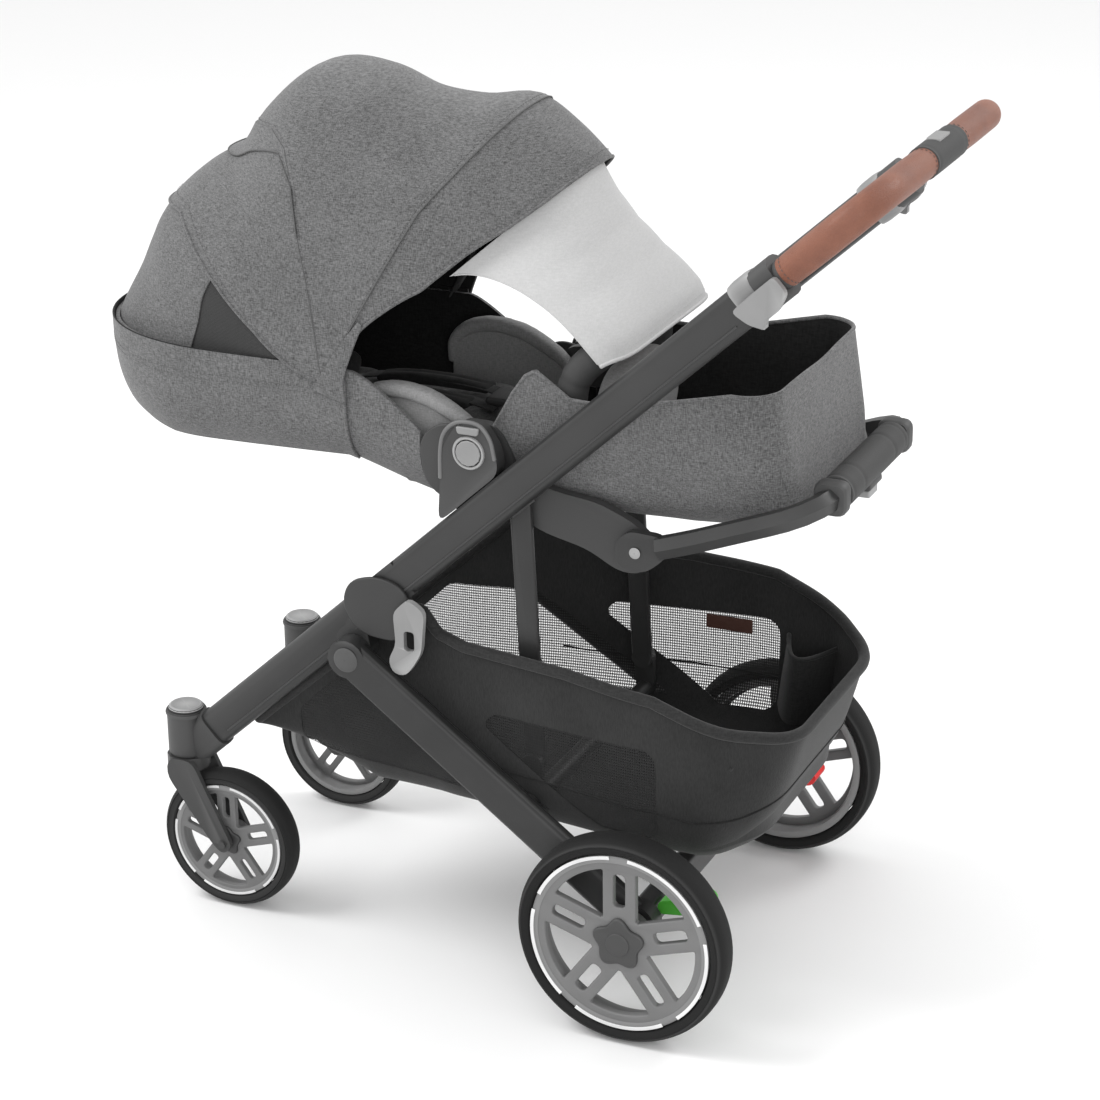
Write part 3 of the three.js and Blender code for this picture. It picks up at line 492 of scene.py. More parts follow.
def plate(name, outline, x0, x1, material, bevel=1.5, holes=(), segments=3):
    """A bevelled slab whose outline is drawn in Y and Z, with holes, from x0 to x1."""
    curve = bpy.data.curves.new(name, "CURVE")
    curve.dimensions, curve.fill_mode = "2D", "BOTH"
    for loop in (outline, *holes):
        loop = np.array(loop, float)
        spline = curve.splines.new("POLY")
        spline.points.add(len(loop) - 1)
        spline.points.foreach_set("co", np.c_[loop * MM, np.zeros(len(loop)), np.ones(len(loop))].ravel())
        spline.use_cyclic_u = True
    half = abs(x1 - x0) / 2
    bevel = min(bevel, half * 0.95)
    curve.extrude, curve.bevel_depth, curve.bevel_resolution = (half - bevel) * MM, bevel * MM, segments
    curve.offset = -bevel * MM
    made = bpy.data.objects.new(name, curve)
    bpy.context.scene.collection.objects.link(made)
    depsgraph = bpy.context.evaluated_depsgraph_get()
    mesh = bpy.data.meshes.new_from_object(made.evaluated_get(depsgraph))
    bpy.data.objects.remove(made)
    bpy.data.curves.remove(curve)
    work = bmesh.new()
    work.from_mesh(mesh)
    bmesh.ops.remove_doubles(work, verts=work.verts, dist=1e-6)
    middle = (x0 + x1) / 2 * MM
    for vertex in work.verts:
        y, z, x = vertex.co
        vertex.co = (x + middle, y + SHIFT_Y * MM, z)
    bmesh.ops.recalc_face_normals(work, faces=work.faces)
    work.to_mesh(mesh)
    work.free()
    mesh.materials.clear()
    mesh.materials.append(MATERIALS[material])
    mesh.shade_smooth()
    mesh.set_sharp_from_angle(angle=math.radians(40))
    made = bpy.data.objects.new(name, mesh)
    bpy.context.scene.collection.objects.link(made)
    return made


def disc(radius, y=0.0, z=0.0, count=40):
    turns = np.linspace(0, 2 * math.pi, count, endpoint=False)
    return np.stack([y + radius * np.cos(turns), z + radius * np.sin(turns)], 1)


def signed_power(value, power):
    return math.copysign(abs(value) ** power, value)


def bowl_section(v, power):
    """Shares outward and downward, from a bowl's rim at v = 0 to the middle of its floor at 1."""
    turn = v * math.pi / 2
    return (math.cos(turn) ** (2 / power) if v < 1 else 0.0, math.sin(turn) ** (2 / power) if v > 0 else 0.0)


def wrinkle(point, size, amount):
    """Smooth uneven relief of cloth, in mm."""
    return amount * noise.noise(Vector(point) / size)


def bead(name, line, radius, material, count=8):
    return tube(name, line, ring_section(radius, count), material, dome=radius * 0.8)


def stitches(name, line, material="thread", length=3.2, gap=2.4, radius=0.45):
    """A row of raised stitches along a line."""
    line = np.array(line, float)
    run = np.concatenate([[0], np.cumsum(np.linalg.norm(np.diff(line, axis=0), axis=1))])
    points, faces = [], []
    start = gap
    while start + length < run[-1]:
        ends = [np.array([np.interp(s, run, line[:, k]) for k in range(3)]) for s in (start, start + length)]
        along = (ends[1] - ends[0]) / max(np.linalg.norm(ends[1] - ends[0]), 1e-9)
        side = np.cross(along, (0, 0, 1) if abs(along[2]) < 0.9 else (1, 0, 0))
        side /= np.linalg.norm(side)
        up = np.cross(along, side)
        base = len(points)
        for end, pinch in ((ends[0], 0.5), ((ends[0] + ends[1]) / 2, 1.0), (ends[1], 0.5)):
            for a, b in ((1, 0), (0, 1), (-1, 0), (0, -1)):
                points.append(end + (side * a + up * b) * radius * pinch)
        for ring in (0, 4):
            for k in range(4):
                m = (k + 1) % 4
                faces.append((base + ring + k, base + ring + m, base + ring + 4 + m, base + ring + 4 + k))
        faces.append((base + 3, base + 2, base + 1, base))
        faces.append((base + 8, base + 9, base + 10, base + 11))
        start += length + gap
    return outward(new_object(name, points, faces, [material]))


def place(made, body, slot, *nodes):
    """The piece rides on a body and may stand for CAD nodes, which it hides; slot is not used."""
    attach(made, body)
    if nodes:
        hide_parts(*nodes)
    return made


CLOTH_STEPS = 20


def points_of(made):
    """The piece's points in metres, one row each."""
    co = np.zeros(len(made.data.vertices) * 3)
    made.data.vertices.foreach_get("co", co)
    return co.reshape(-1, 3)


def inflate(made, cap, voxel=5.0, pressure=4.0):
    """Swells a padded piece with Cloth under pressure; no point moves further than cap mm."""
    remesh = made.modifiers.new("remesh", "REMESH")
    remesh.mode, remesh.voxel_size, remesh.use_smooth_shade = "VOXEL", voxel * MM, True
    settle(made)
    rest = points_of(made)
    cloth = made.modifiers.new("cloth", "CLOTH")
    cloth.settings.use_pressure = True
    cloth.settings.uniform_pressure_force = pressure
    cloth.settings.effector_weights.gravity = 0
    cloth.settings.quality = 5
    cloth.collision_settings.use_collision = False
    cloth.point_cache.frame_start, cloth.point_cache.frame_end = 1, CLOTH_STEPS
    scene = bpy.context.scene
    for step in range(1, CLOTH_STEPS + 1):
        scene.frame_set(step)
    settle(made)
    shift = points_of(made) - rest
    length = np.linalg.norm(shift, axis=1, keepdims=True)
    shift *= np.minimum(1, cap * MM / np.maximum(length, 1e-9))
    made.data.vertices.foreach_set("co", (rest + shift).ravel())
    scene.frame_set(1)
    smooth = made.modifiers.new("smooth", "SMOOTH")
    smooth.iterations = 4
    settle(made)
    subdivided(made)
    made.data.shade_smooth()
    return made


def press(made, line, depth, width):
    """Sinks a sewn channel of that depth and half-width, in mm, along a line of points."""
    line = (np.array(line, float) + (0, SHIFT_Y, 0)) * MM
    co = points_of(made)
    normals = np.zeros(co.size)
    made.data.vertex_normals.foreach_get("vector", normals)
    normals = normals.reshape(-1, 3)
    near = np.full(len(co), 1e9)
    for p in line:
        near = np.minimum(near, np.linalg.norm(co - p, axis=1))
    sink = depth * MM * np.exp(-(near / (width * MM)) ** 2)
    made.data.vertices.foreach_set("co", (co - normals * sink[:, None]).ravel())
    made.data.update()
    return made


make_camera()
make_world()
MATERIALS = make_materials()


# ---------- CAD pieces that keep their shape ----------
def polish(node, material, bevel=1.2):
    """Rounds a CAD node's edges with modifiers and gives it a finish; its own mesh stays as it is."""
    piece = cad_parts[node]
    mesh = piece.data
    custom = mesh.attributes.get("custom_normal")
    if custom is not None:
        mesh.attributes.remove(custom)
    mesh.shade_smooth()
    if piece.material_slots:
        for slot in piece.material_slots:
            slot.material = MATERIALS[material]
    weld = piece.modifiers.new("weld", "WELD")
    weld.merge_threshold = 1e-5
    if bevel:
        edge = piece.modifiers.new("edge", "BEVEL")
        edge.width, edge.segments = bevel * MM, 3
        edge.limit_method, edge.angle_limit = "ANGLE", math.radians(34)
        edge.harden_normals = True


KEPT = {
    "front_cross_tube": ("frame", 0.8), "rear_axle": ("frame", 2.0), "rear_cross_tube": ("frame", 1.0),
    "leg_rest_button": ("trim", 2.0), "telescope_button": ("trim", 1.5), "storage_latch": ("trim", 1.6),
}
KEPT_PAIRS = {
    "front_leg": ("frame", 1.0), "upper_tube": ("frame", 1.0), "rear_leg": ("frame", 1.2),
    "strut": ("frame", 1.5), "strut_slider": ("plastic", 0.8), "caster_fork": ("plastic", 2.5),
    "caster_housing": ("plastic", 1.2), "seat_mount": ("plastic", 3.0), "hub_button": ("trim", 1.2),
    "seat_arm": ("plastic", 4.0), "handle_collar": ("plastic", 2.0), "fold_trigger": ("trim", 1.5),
}


def keep_cad_pieces():
    for node, (material, bevel) in KEPT.items():
        polish(node, material, bevel)
    for node, (material, bevel) in KEPT_PAIRS.items():
        for side, _ in SIDES:
            polish(f"{node}_{side}", material, bevel)
    polish("brake_pedal_left", "brake_green", 2.5)
    polish("brake_pedal_right", "brake_red", 2.5)
    polish("leg_rest_tube", "frame", 1.5)
    polish("handle_bar", "frame", 0)


# ---------- wheels ----------
SPOKES = 5
SPOKE_TURN = 360 / SPOKES


def spoke_holes(hub, ring, half, slot_half, slot_from, slot_to, corner):
    """The openings of a rim with five double spokes: one between each pair of spokes, one slot in each."""
    holes = []
    for spoke in range(SPOKES):
        a, b = (math.radians(90 + SPOKE_TURN * k) for k in (spoke, spoke + 1))
        ahead = [np.array((math.cos(t), math.sin(t))) for t in (a, b)]
        left = [np.array((-d[1], d[0])) for d in ahead]
        low, high = math.sqrt(hub ** 2 - half ** 2), math.sqrt(ring ** 2 - half ** 2)
        start, end = (math.atan2(*(ahead[0] * high + left[0] * half)[::-1]),
                      math.atan2(*(ahead[1] * high - left[1] * half)[::-1]))
        if end < start:
            end += 2 * math.pi
        arc = [ring * np.array((math.cos(t), math.sin(t))) for t in np.linspace(start, end, 14)]
        start, end = (math.atan2(*(ahead[0] * low + left[0] * half)[::-1]),
                      math.atan2(*(ahead[1] * low - left[1] * half)[::-1]))
        if end < start:
            end += 2 * math.pi
        inner = [hub * np.array((math.cos(t), math.sin(t))) for t in np.linspace(end, start, 4)]
        loop = [(*p, corner) for p in arc] + [(*p, corner * 0.5) for p in inner]
        holes.append(rounded(loop, corner, steps=4))
        d, n = ahead[0], left[0]
        slot = [d * slot_from - n * slot_half, d * slot_from + n * slot_half,
                d * slot_to + n * slot_half, d * slot_to - n * slot_half]
        holes.append(rounded([tuple(p) for p in slot], slot_half * 0.9, steps=5))
    return holes


WHEELS = {
    "rear": {"hub": 38, "ring": 96, "spoke": 21, "slot": 7.5, "slot_from": 47, "cap": 30},
    "front": {"hub": 25, "ring": 65, "spoke": 13.5, "slot": 4.6, "slot_from": 32, "cap": 18},
}


def build_wheel(end, side, sign):
    tyre_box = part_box(f"{end}_tyre_{side}")
    rim_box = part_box(f"{end}_rim_{side}")
    centre = (tyre_box[0] + tyre_box[1]) / 2 / MM
    centre = np.array((centre.x, centre.y - SHIFT_Y, centre.z))
    radius = (tyre_box[1].z - tyre_box[0].z) / 2 / MM
    half = (tyre_box[1].x - tyre_box[0].x) / 2 / MM
    rim = (rim_box[1].z - rim_box[0].z) / 2 / MM
    body = f"{end}_wheel_{side}"
    size = WHEELS[end]
    grow = half / 22

    shoulder = []
    for t in np.linspace(-1, 1, 13):
        shoulder.append((radius - half * 0.34 * abs(t) ** 3.2, half * 0.98 * t))
    groove = 1.1 * grow
    wall = rim + (radius - rim) * 0.55
    inner_side = [(rim + 1.2, -half * 0.72), (rim + 4 * grow, -half * 0.94), (wall, -half),
                  (wall + groove, -half + groove), (wall + groove * 2, -half)]
    profile = inner_side + shoulder + [(r, -x) for r, x in reversed(inner_side)]
    tyre = lathe(f"{end}_wheel_tyre_{side}", profile, centre, "tyre", 112, sharp=50)
    place(tyre, body, "tyre", f"{end}_tyre_{side}")

    barrel = lathe(f"{end}_wheel_barrel_{side}", [
        (rim, -half * 0.78), (rim, half * 0.78), (rim - 3, half * 0.86), (rim - 9 * grow, half * 0.8),
        (rim - 11 * grow, half * 0.5), (rim - 8 * grow, -half * 0.5), (rim - 8 * grow, -half * 0.78),
    ], centre, "rim", 112)
    place(barrel, body, "rim", f"{end}_rim_{side}")

    holes = spoke_holes(size["hub"], size["ring"], size["spoke"], size["slot"], size["slot_from"],
                        size["ring"] - 6 * grow, 9 * grow)
    out = sign * half
    shift = centre[1:]
    spokes = plate(f"{end}_wheel_spokes_{side}", disc(rim - 4 * grow, count=96) + shift,
                   centre[0] + out * 0.30, centre[0] + out * 0.78, "rim", 2.2 * grow,
                   [h + shift for h in holes])
    place(spokes, body, "rim")
    turns = np.linspace(0, 2 * math.pi, 60, endpoint=False)
    cap_radius = size["cap"] * (1 + 0.13 * np.cos(5 * (turns - math.pi / 2)))
    cap = plate(f"{end}_wheel_cap_{side}",
                np.stack([cap_radius * np.cos(turns), cap_radius * np.sin(turns)], 1) + shift,
                centre[0] + out * 0.7, centre[0] + out * 1.0, "hub_cap", 3.4 * grow)
    boss = plate(f"{end}_wheel_boss_{side}", disc(size["cap"] * 0.5, count=36) + shift,
                 centre[0] + out * 0.9, centre[0] + out * 1.07, "hub_cap", 1.6 * grow)
    drum = lathe(f"{end}_wheel_drum_{side}", [
        (size["hub"] * 0.24, -half * 0.8), (size["hub"] * 0.72, -half * 0.8),
        (size["hub"] * 0.8, -half * 0.6),
        (size["hub"] * 0.86, half * 0.5), (size["hub"] * 0.24, half * 0.5),
    ], centre, "hub_cap", 48)
    for piece in (cap, boss, drum):
        place(piece, body, "plastic")
    strips = []
    for strip in range(SPOKES):
        middle = math.radians(90 + SPOKE_TURN * (strip + 0.5))
        arc = np.linspace(middle - math.radians(30), middle + math.radians(30), 22)
        inner, outer = rim - 4.2 * grow, rim + 0.2
        loop = np.concatenate([
            np.stack([outer * np.cos(arc), outer * np.sin(arc)], 1),
            np.stack([inner * np.cos(arc[::-1]), inner * np.sin(arc[::-1])], 1)])
        strips.append(plate(f"strip{strip}", loop + shift,
                            centre[0] + out * 0.84, centre[0] + out * 0.9, "reflector", 0.4))
    place(joined(f"{end}_wheel_reflector_{side}", strips), body, "rim")


# ---------- frame details ----------
TUBE_FOOT, TUBE_HEAD = np.array((155.0, -366, 231)), np.array((215.0, 409, 936))
TUBE_ALONG = (TUBE_HEAD - TUBE_FOOT) / np.linalg.norm(TUBE_HEAD - TUBE_FOOT)
TUBE_UP = np.cross((1.0, 0, 0), TUBE_ALONG)
HUB_Y, HUB_Z = 36, 672


def tube_at(y):
    return TUBE_FOOT + (TUBE_HEAD - TUBE_FOOT) * (y - TUBE_FOOT[1]) / (TUBE_HEAD[1] - TUBE_FOOT[1])


def flip(line, sign):
    return np.array(line, float) * (sign, 1, 1)


def stand(made, x, y, z):
    """Turns a lathed piece's axis upright and moves the piece by x, y, z in mm."""
    made.data.transform(Matrix.Rotation(math.radians(-90), 4, "Y"))
    made.data.transform(Matrix.Translation(Vector(at(x, y - SHIFT_Y, z))))
    return made


def build_frame_details(side, sign):
    def rail(name, y0, y1, body):
        """The raised lip along the outer lower edge of the side tube."""
        ends = [tube_at(y) + (14.0, 0, 0) + TUBE_UP * -13 for y in (y0, y1)]
        lip = tube(name, flip(even(ends, 12), sign), box_section(2.4, 3.0, 1.0, 2), "frame", up=(1, 0, 0),
                   dome=1.5)
        place(lip, body, "frame")

    rail(f"upper_tube_lip_{side}", -62, 372, "upper_frame")
    rail(f"lower_tube_lip_{side}", -330, -122, "front_frame")

    clamp = tube(f"tube_end_clamp_{side}", flip(even([tube_at(386), TUBE_HEAD + TUBE_ALONG * 2], 8), sign),
                 box_section(56, 34, 14, 6), "trim", up=(1, 0, 0),
                 scale=[0.955, 0.985, 1, 1, 1, 1, 0.985, 0.95])
    place(clamp, "upper_frame", "trim")

    hinge = tube_at(-94)
    cover = rounded([(-44, -12), (-20, -46), (34, -50), (50, -14), (44, 22), (6, 34), (-34, 22)], 22)
    outer = hinge[0] + 20.4
    place(plate(f"hinge_cover_{side}", cover + (hinge[1], hinge[2]), sign * (outer - 5), sign * (outer + 1.6),
                "plastic", 2.5), "upper_frame", "plastic")

    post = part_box(f"caster_housing_{side}")
    top = post[1].z / MM
    x, y = sign * 155.5, -392
    cap = lathe(f"caster_cap_{side}", [(0.5, 0), (17, 0), (19.5, 0.8), (21.5, -0.8), (22.4, -3), (0.5, -3)],
                (0, 0, 0), "trim", 48)
    place(stand(cap, x, y, top + 1.0), "front_frame", "trim")
    collar = lathe(f"caster_ring_{side}", [(23, -2.2), (26, -2.2), (26.6, 0), (26, 2.2), (23, 2.2)],
                   (0, 0, 0), "foam", 48)
    place(stand(collar, x, y, 262), "front_frame", "foam")

    foot = np.array((sign * 243.0, 265, 134))
    place(lathe(f"axle_cap_{side}", [(10.5, -3), (19, -3), (20, -1), (19, 3), (10.5, 3)], foot,
                "plastic", 40),
          "rear_legs", "plastic")
    knuckle = lathe(f"rear_leg_cap_{side}", [(0.5, -2), (15, -2), (16, 0), (13, 2), (0.5, 2)],
                    (sign * 214.0, -126, 402), "plastic", 40)
    place(knuckle, "rear_legs", "plastic")


def build_hub(side, sign):
    """The seat hub: raised rim, button bezel, slider tab and the recline plate behind them."""
    y, z = HUB_Y, HUB_Z
    x = 192
    arch = [(-38, -22), (-37, 14), (-31, 36), (-14, 50), (12, 50), (27, 34), (33, 10)]
    line = [(x - 1, y + a, z + b) for a, b in curve_through(arch, 30)]
    place(tube(f"hub_rim_{side}", flip(line, sign), ring_section(2.6, 10), "trim_dark", dome=2),
          "upper_frame", "plastic")
    bezel = lathe(f"hub_bezel_{side}", [(16.8, -1.5), (20.4, -1.5), (20.8, 0.4), (19.6, 2.4), (17.6, 2.4),
                                        (16.8, 1)],
                  (sign * x, y, z + 14), "trim", 56)
    place(bezel, "upper_frame", "trim")
    tab = plate(f"hub_tab_{side}", rounded([(-13, 37), (13, 37), (15, 46), (-15, 46)], 3) + (y, z),
                sign * (x - 2), sign * (x + 3.4), "trim", 1.4)
    place(tab, "upper_frame", "trim")
    plate_outline = rounded([(-78, 14), (-70, -44), (-30, -66), (18, -40), (30, 0), (0, 30), (-46, 40)], 34)
    place(plate(f"recline_plate_{side}", plate_outline + (y, z), sign * 163.0, sign * 169.0, "plastic", 2.0),
          "upper_frame", "plastic")


def build_handle():
    head = TUBE_HEAD
    corner = tube_at(532) + (2, 0, 0)
    for side, sign in SIDES:
        ends = [head + TUBE_ALONG * 36 + (2, 0, 0), corner, np.array((52.4, corner[1], corner[2]))]
        line = even(rounded([tuple(p) for p in ends], 62, closed=False, steps=14), 90)
        run = np.linspace(0, 1, 90)
        swell = 1 + 0.05 * np.sin(run * math.pi) + 0.02 * np.sin(run * 9)
        sleeve = tube(f"leather_wrap_{side}", flip(line, sign), ring_section(17.6, 28), "leather",
                      scale=swell, dome=2)
        place(sleeve, "handle", "leather", f"handle_leather_{side}")
        _, across, normal = frames_along(line)
        round_turn = np.linspace(0, 2 * math.pi, 48)[:, None]
        for index in (2, 87):
            ring = line[index] + 18.4 * (np.cos(round_turn) * across[index] + np.sin(round_turn)
                                         * normal[index])
            place(stitches(f"leather_stitch_{side}_{index}", flip(ring, sign)), "handle", "leather")
        rest = np.linspace(0, 34, 8)
        below = [head + TUBE_ALONG * (2 + s) + (2, 0, 0) for s in rest]
        place(tube(f"stem_boot_{side}", flip(below, sign), ring_section(16, 26), "foam",
                   scale=[1.12, 1.12, 1.0, 0.93, 0.93, 1.0, 1.06, 1.0]), "handle", "foam")
    grip = [(x, corner[1], corner[2]) for x in np.linspace(-52, 52, 30)]
    run = np.linspace(-1, 1, 30)
    place(tube("grip_centre", grip, ring_section(19.4, 30), "foam",
               scale=1 - 0.05 * np.exp(-((np.abs(run) - 0.9) / 0.05) ** 2)
               , dome=1), "handle", "plastic", "centre_grip")


# ---------- canopy ----------
PIVOT_Y, PIVOT_Z = -165, 740
HOOP_WIDTH, HOOP_POWER = 172, 2.3
# Angles about the pivot in degrees, and the hoop's top radius there.
CANOPY_TOP = np.array([(40, 386), (50, 386), (59, 378), (68, 343), (79, 330), (90, 346), (101, 353),
                       (114, 325), (125, 300), (137, 311), (153, 327), (166, 330), (178, 351)], float)
SMOOTH_TOP = curve_through(CANOPY_TOP, 200)
# Seam angles in degrees against the share of the hoop's full radius.
SEAM_SHARE = np.array([0.10, 0.19, 0.32, 0.46, 0.56, 0.65, 0.78, 0.88, 1.0])
REAR_EDGE = np.array([163, 157, 151, 148.5, 147, 146, 144.5, 144, 150])
REAR_SEAM = np.array([98, 98, 99, 101, 101.5, 102, 104, 109, 120])
MIDDLE_SEAM = np.array([61, 61, 61, 61, 61, 61, 59, 58, 57])
BRIM_EDGE = np.array([58, 56, 50, 44.6, 44, 43.5, 42, 41.6, 41.6])
FLAP_EDGE = np.array([98, 98, 99, 101, 101.5, 102, 106, 117, 131])
BAND_ANGLE = 176
WINDOW_SHARE = 0.6


def hoop_share(turn):
    return np.abs(np.sin(turn)) ** (2 / HOOP_POWER)


def hoop(angle, turn, inset=0.0):
    """A point of the canopy, by its angle about the pivot and its turn along the hoop from foot to foot."""
    top = np.interp(angle, SMOOTH_TOP[:, 0], SMOOTH_TOP[:, 1]) - inset
    x = (HOOP_WIDTH - inset) * signed_power(math.cos(turn), 2 / HOOP_POWER)
    r = top * hoop_share(turn)
    a = math.radians(angle)
    return np.array((x, PIVOT_Y + r * math.cos(a), PIVOT_Z + r * math.sin(a)))


def along_hoop(count):
    """Turns from the left foot to the right one, evenly spaced in length on a middle hoop."""
    turns = np.concatenate([np.geomspace(0.0006, 0.02, 200), np.linspace(0.02, math.pi - 0.02, 1400),
                            math.pi - np.geomspace(0.0006, 0.02, 200)[::-1]])
    line = np.array([hoop(90, t) for t in turns])
    run = np.concatenate([[0], np.cumsum(np.linalg.norm(np.diff(line, axis=0), axis=1))])
    return np.interp(np.linspace(0, run[-1], count), run, turns)


HOOP_TURNS = along_hoop(241)


def turn_of(u):
    return float(np.interp(u, np.linspace(0, 1, len(HOOP_TURNS)), HOOP_TURNS))


def seam_angle(seam, turn):
    return float(np.interp(hoop_share(turn), SEAM_SHARE, seam))


def seam_line(seam, inset=-1.6, count=150, trim=0.0):
    return np.array([hoop(seam_angle(seam, turn_of(u)), turn_of(u), inset)
                     for u in np.linspace(trim, 1 - trim, count)])


def canopy_panel(name, front, rear, inset, columns, rows, thickness, materials, amount=0.9, trim=0.0):
    """Cloth between two seams; it draws in a little between them and creases softly."""
    def surface(u, v):
        turn = turn_of(trim + (1 - 2 * trim) * u)
        low = front if np.isscalar(front) else seam_angle(front, turn)
        high = rear if np.isscalar(rear) else seam_angle(rear, turn)
        angle = low + (high - low) * v
        share = hoop_share(turn)
        pull = 1.6 * math.sin(math.pi * v) * share
        point = hoop(angle, turn, inset + pull)
        direction = np.array((point[0] / HOOP_WIDTH, *(point[1:] - (PIVOT_Y, PIVOT_Z)) / 400))
        return point + direction * share * wrinkle(point * (1, 0.5, 1.3), 70, amount)

    return sheet(name, surface, columns, rows, thickness, materials, (0, PIVOT_Y, PIVOT_Z))


def build_canopy():
    dome_front = canopy_panel("canopy_dome_front", MIDDLE_SEAM, REAR_SEAM, -1.2, 140, 34, 2.2,
                              ["melange", "lining"])
    dome_rear = canopy_panel("canopy_dome_rear", REAR_SEAM, REAR_EDGE, -1.2, 140, 26, 2.2,
                             ["melange", "lining"])
    flap = canopy_panel("canopy_vent_flap", REAR_SEAM, FLAP_EDGE, -3.0, 110, 12, 1.4,
                        ["melange", "lining"], trim=0.2)
    dome = [dome_front, dome_rear, flap]
    for name, seam, radius, material in (
            ("canopy_rear_hem", REAR_EDGE, 2.0, "melange"), ("canopy_rear_seam", REAR_SEAM, 0.7, "thread"),
            ("canopy_middle_seam", MIDDLE_SEAM, 0.9, "thread")):
        dome.append(bead(name, seam_line(seam, -2.4, trim=0.01), radius, material))
    dome.append(bead("canopy_flap_edge", seam_line(FLAP_EDGE, -4.0, trim=0.2), 0.8, "thread"))
    dome.append(stitches("canopy_rear_hem_stitch", seam_line(REAR_EDGE - 3, -2.5, 300, 0.02)))
    dome.append(stitches("canopy_rear_seam_stitch", seam_line(REAR_SEAM - 1.1, -2.5, 300, 0.02)))
    dome.append(stitches("canopy_middle_seam_stitch", seam_line(MIDDLE_SEAM + 1.1, -2.5, 300, 0.02)))
    for piece in dome:
        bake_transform(piece)
    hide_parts("canopy_rear_panel")
    declare_sheet(dome[3:])
    declare_sheet()
    declare_sheet()

    front = canopy_panel("canopy_brim", BRIM_EDGE, MIDDLE_SEAM + 0.6, 0.0, 140, 16, 2.2,
                         ["melange", "lining"], 0.5)
    hem = bead("canopy_brim_hem", seam_line(BRIM_EDGE, -0.6, trim=0.005), 2.0, "melange")
    hem_stitch = stitches("canopy_brim_stitch", seam_line(BRIM_EDGE + 1.6, -1.4, 300, 0.02))
    for piece in (front, hem, hem_stitch):
        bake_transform(piece)
    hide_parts("canopy_front_panel")
    declare_sheet((hem, hem_stitch))

    for name, seam, body, node in (("canopy_middle_bow", MIDDLE_SEAM, "canopy_middle", "canopy_middle_rib"),
                                   ("canopy_front_bow", BRIM_EDGE + 1.0, "canopy_front", "canopy_front_rib")):
        bow = tube(name, seam_line(seam, 6.5, trim=0.012), ring_section(3.2, 10), "plastic", dome=3)
        place(bow, body, "trim", node)

    def edge_share(v):
        """Share of the hoop at which the side window gives way to the back panel's cloth."""
        return WINDOW_SHARE - 0.05 * v

    def rear_point(share_or_turn, v, inset, is_turn=True):
        turn = share_or_turn if is_turn else math.asin(min(1.0, share_or_turn) ** (HOOP_POWER / 2))
        start = seam_angle(REAR_EDGE, turn) - 5
        return hoop(start + (BAND_ANGLE + 3 - start) * v, turn, inset)

    def back_panel(u, v):
        first = math.asin(edge_share(v) ** (HOOP_POWER / 2))
        point = rear_point(first + (math.pi - 2 * first) * u, v, 1.2)
        reach = -14 * max(0.0, v - 0.4) / 0.6 * math.sin(math.pi * u) ** 0.5
        return point + np.array((0, reach - wrinkle(point, 80, 0.8), 0))

    back = sheet("canopy_back_panel", back_panel, 110, 26, 1.8, ["melange", "lining"], (0, PIVOT_Y, PIVOT_Z))
    place(back, "backrest", "melange")
    declare_sheet()
    for side, sign in SIDES:
        def window(u, v, sign=sign):
            return rear_point(0.05 + (edge_share(v) - 0.04) * u, v, 1.6, False) * (sign, 1, 1)
        net = sheet(f"canopy_window_{side}", window, 30, 26, 1.0, ["mesh_window"], (0, PIVOT_Y, PIVOT_Z))
        place(net, "backrest", "melange")
        declare_sheet()
        edge = [rear_point(edge_share(v), v, -0.2, False) * (sign, 1, 1) for v in np.linspace(0.1, 0.97, 40)]
        place(bead(f"window_binding_{side}", edge, 1.0, "melange"), "backrest", "melange")

        skirt_front = curve_through([(-110, 818), (-124, 784), (-137, 746), (-136, 718)], 30)
        skirt_rear = curve_through([(-114, 822), (-138, 792), (-160, 760), (-182, 730)], 30)

        def skirt(u, v, sign=sign):
            """The dome's foot: cloth over the pivot that runs down into the band."""
            y, z = (np.interp(v, np.linspace(0, 1, 30), skirt_front[:, k]) * (1 - u)
                    + np.interp(v, np.linspace(0, 1, 30), skirt_rear[:, k]) * u for k in (0, 1))
            x = sign * (172.2 + 2.2 * math.sin(math.pi * v) + 0.6 * math.sin(math.pi * u))
            return np.array((x, y, z))

        foot = sheet(f"canopy_skirt_{side}", skirt, 16, 24, 2.0, ["melange", "lining"], (0, -180, 740))
        lip = bead(f"canopy_skirt_edge_{side}", [skirt(0.0, v) for v in np.linspace(0.02, 0.98, 30)],
                   1.3, "melange")
        for piece in (foot, lip):
            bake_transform(piece)
        declare_sheet((lip,))


SHADE_ANGLE = {"brim": 42, "middle": 10.0, "corner": 9.2}


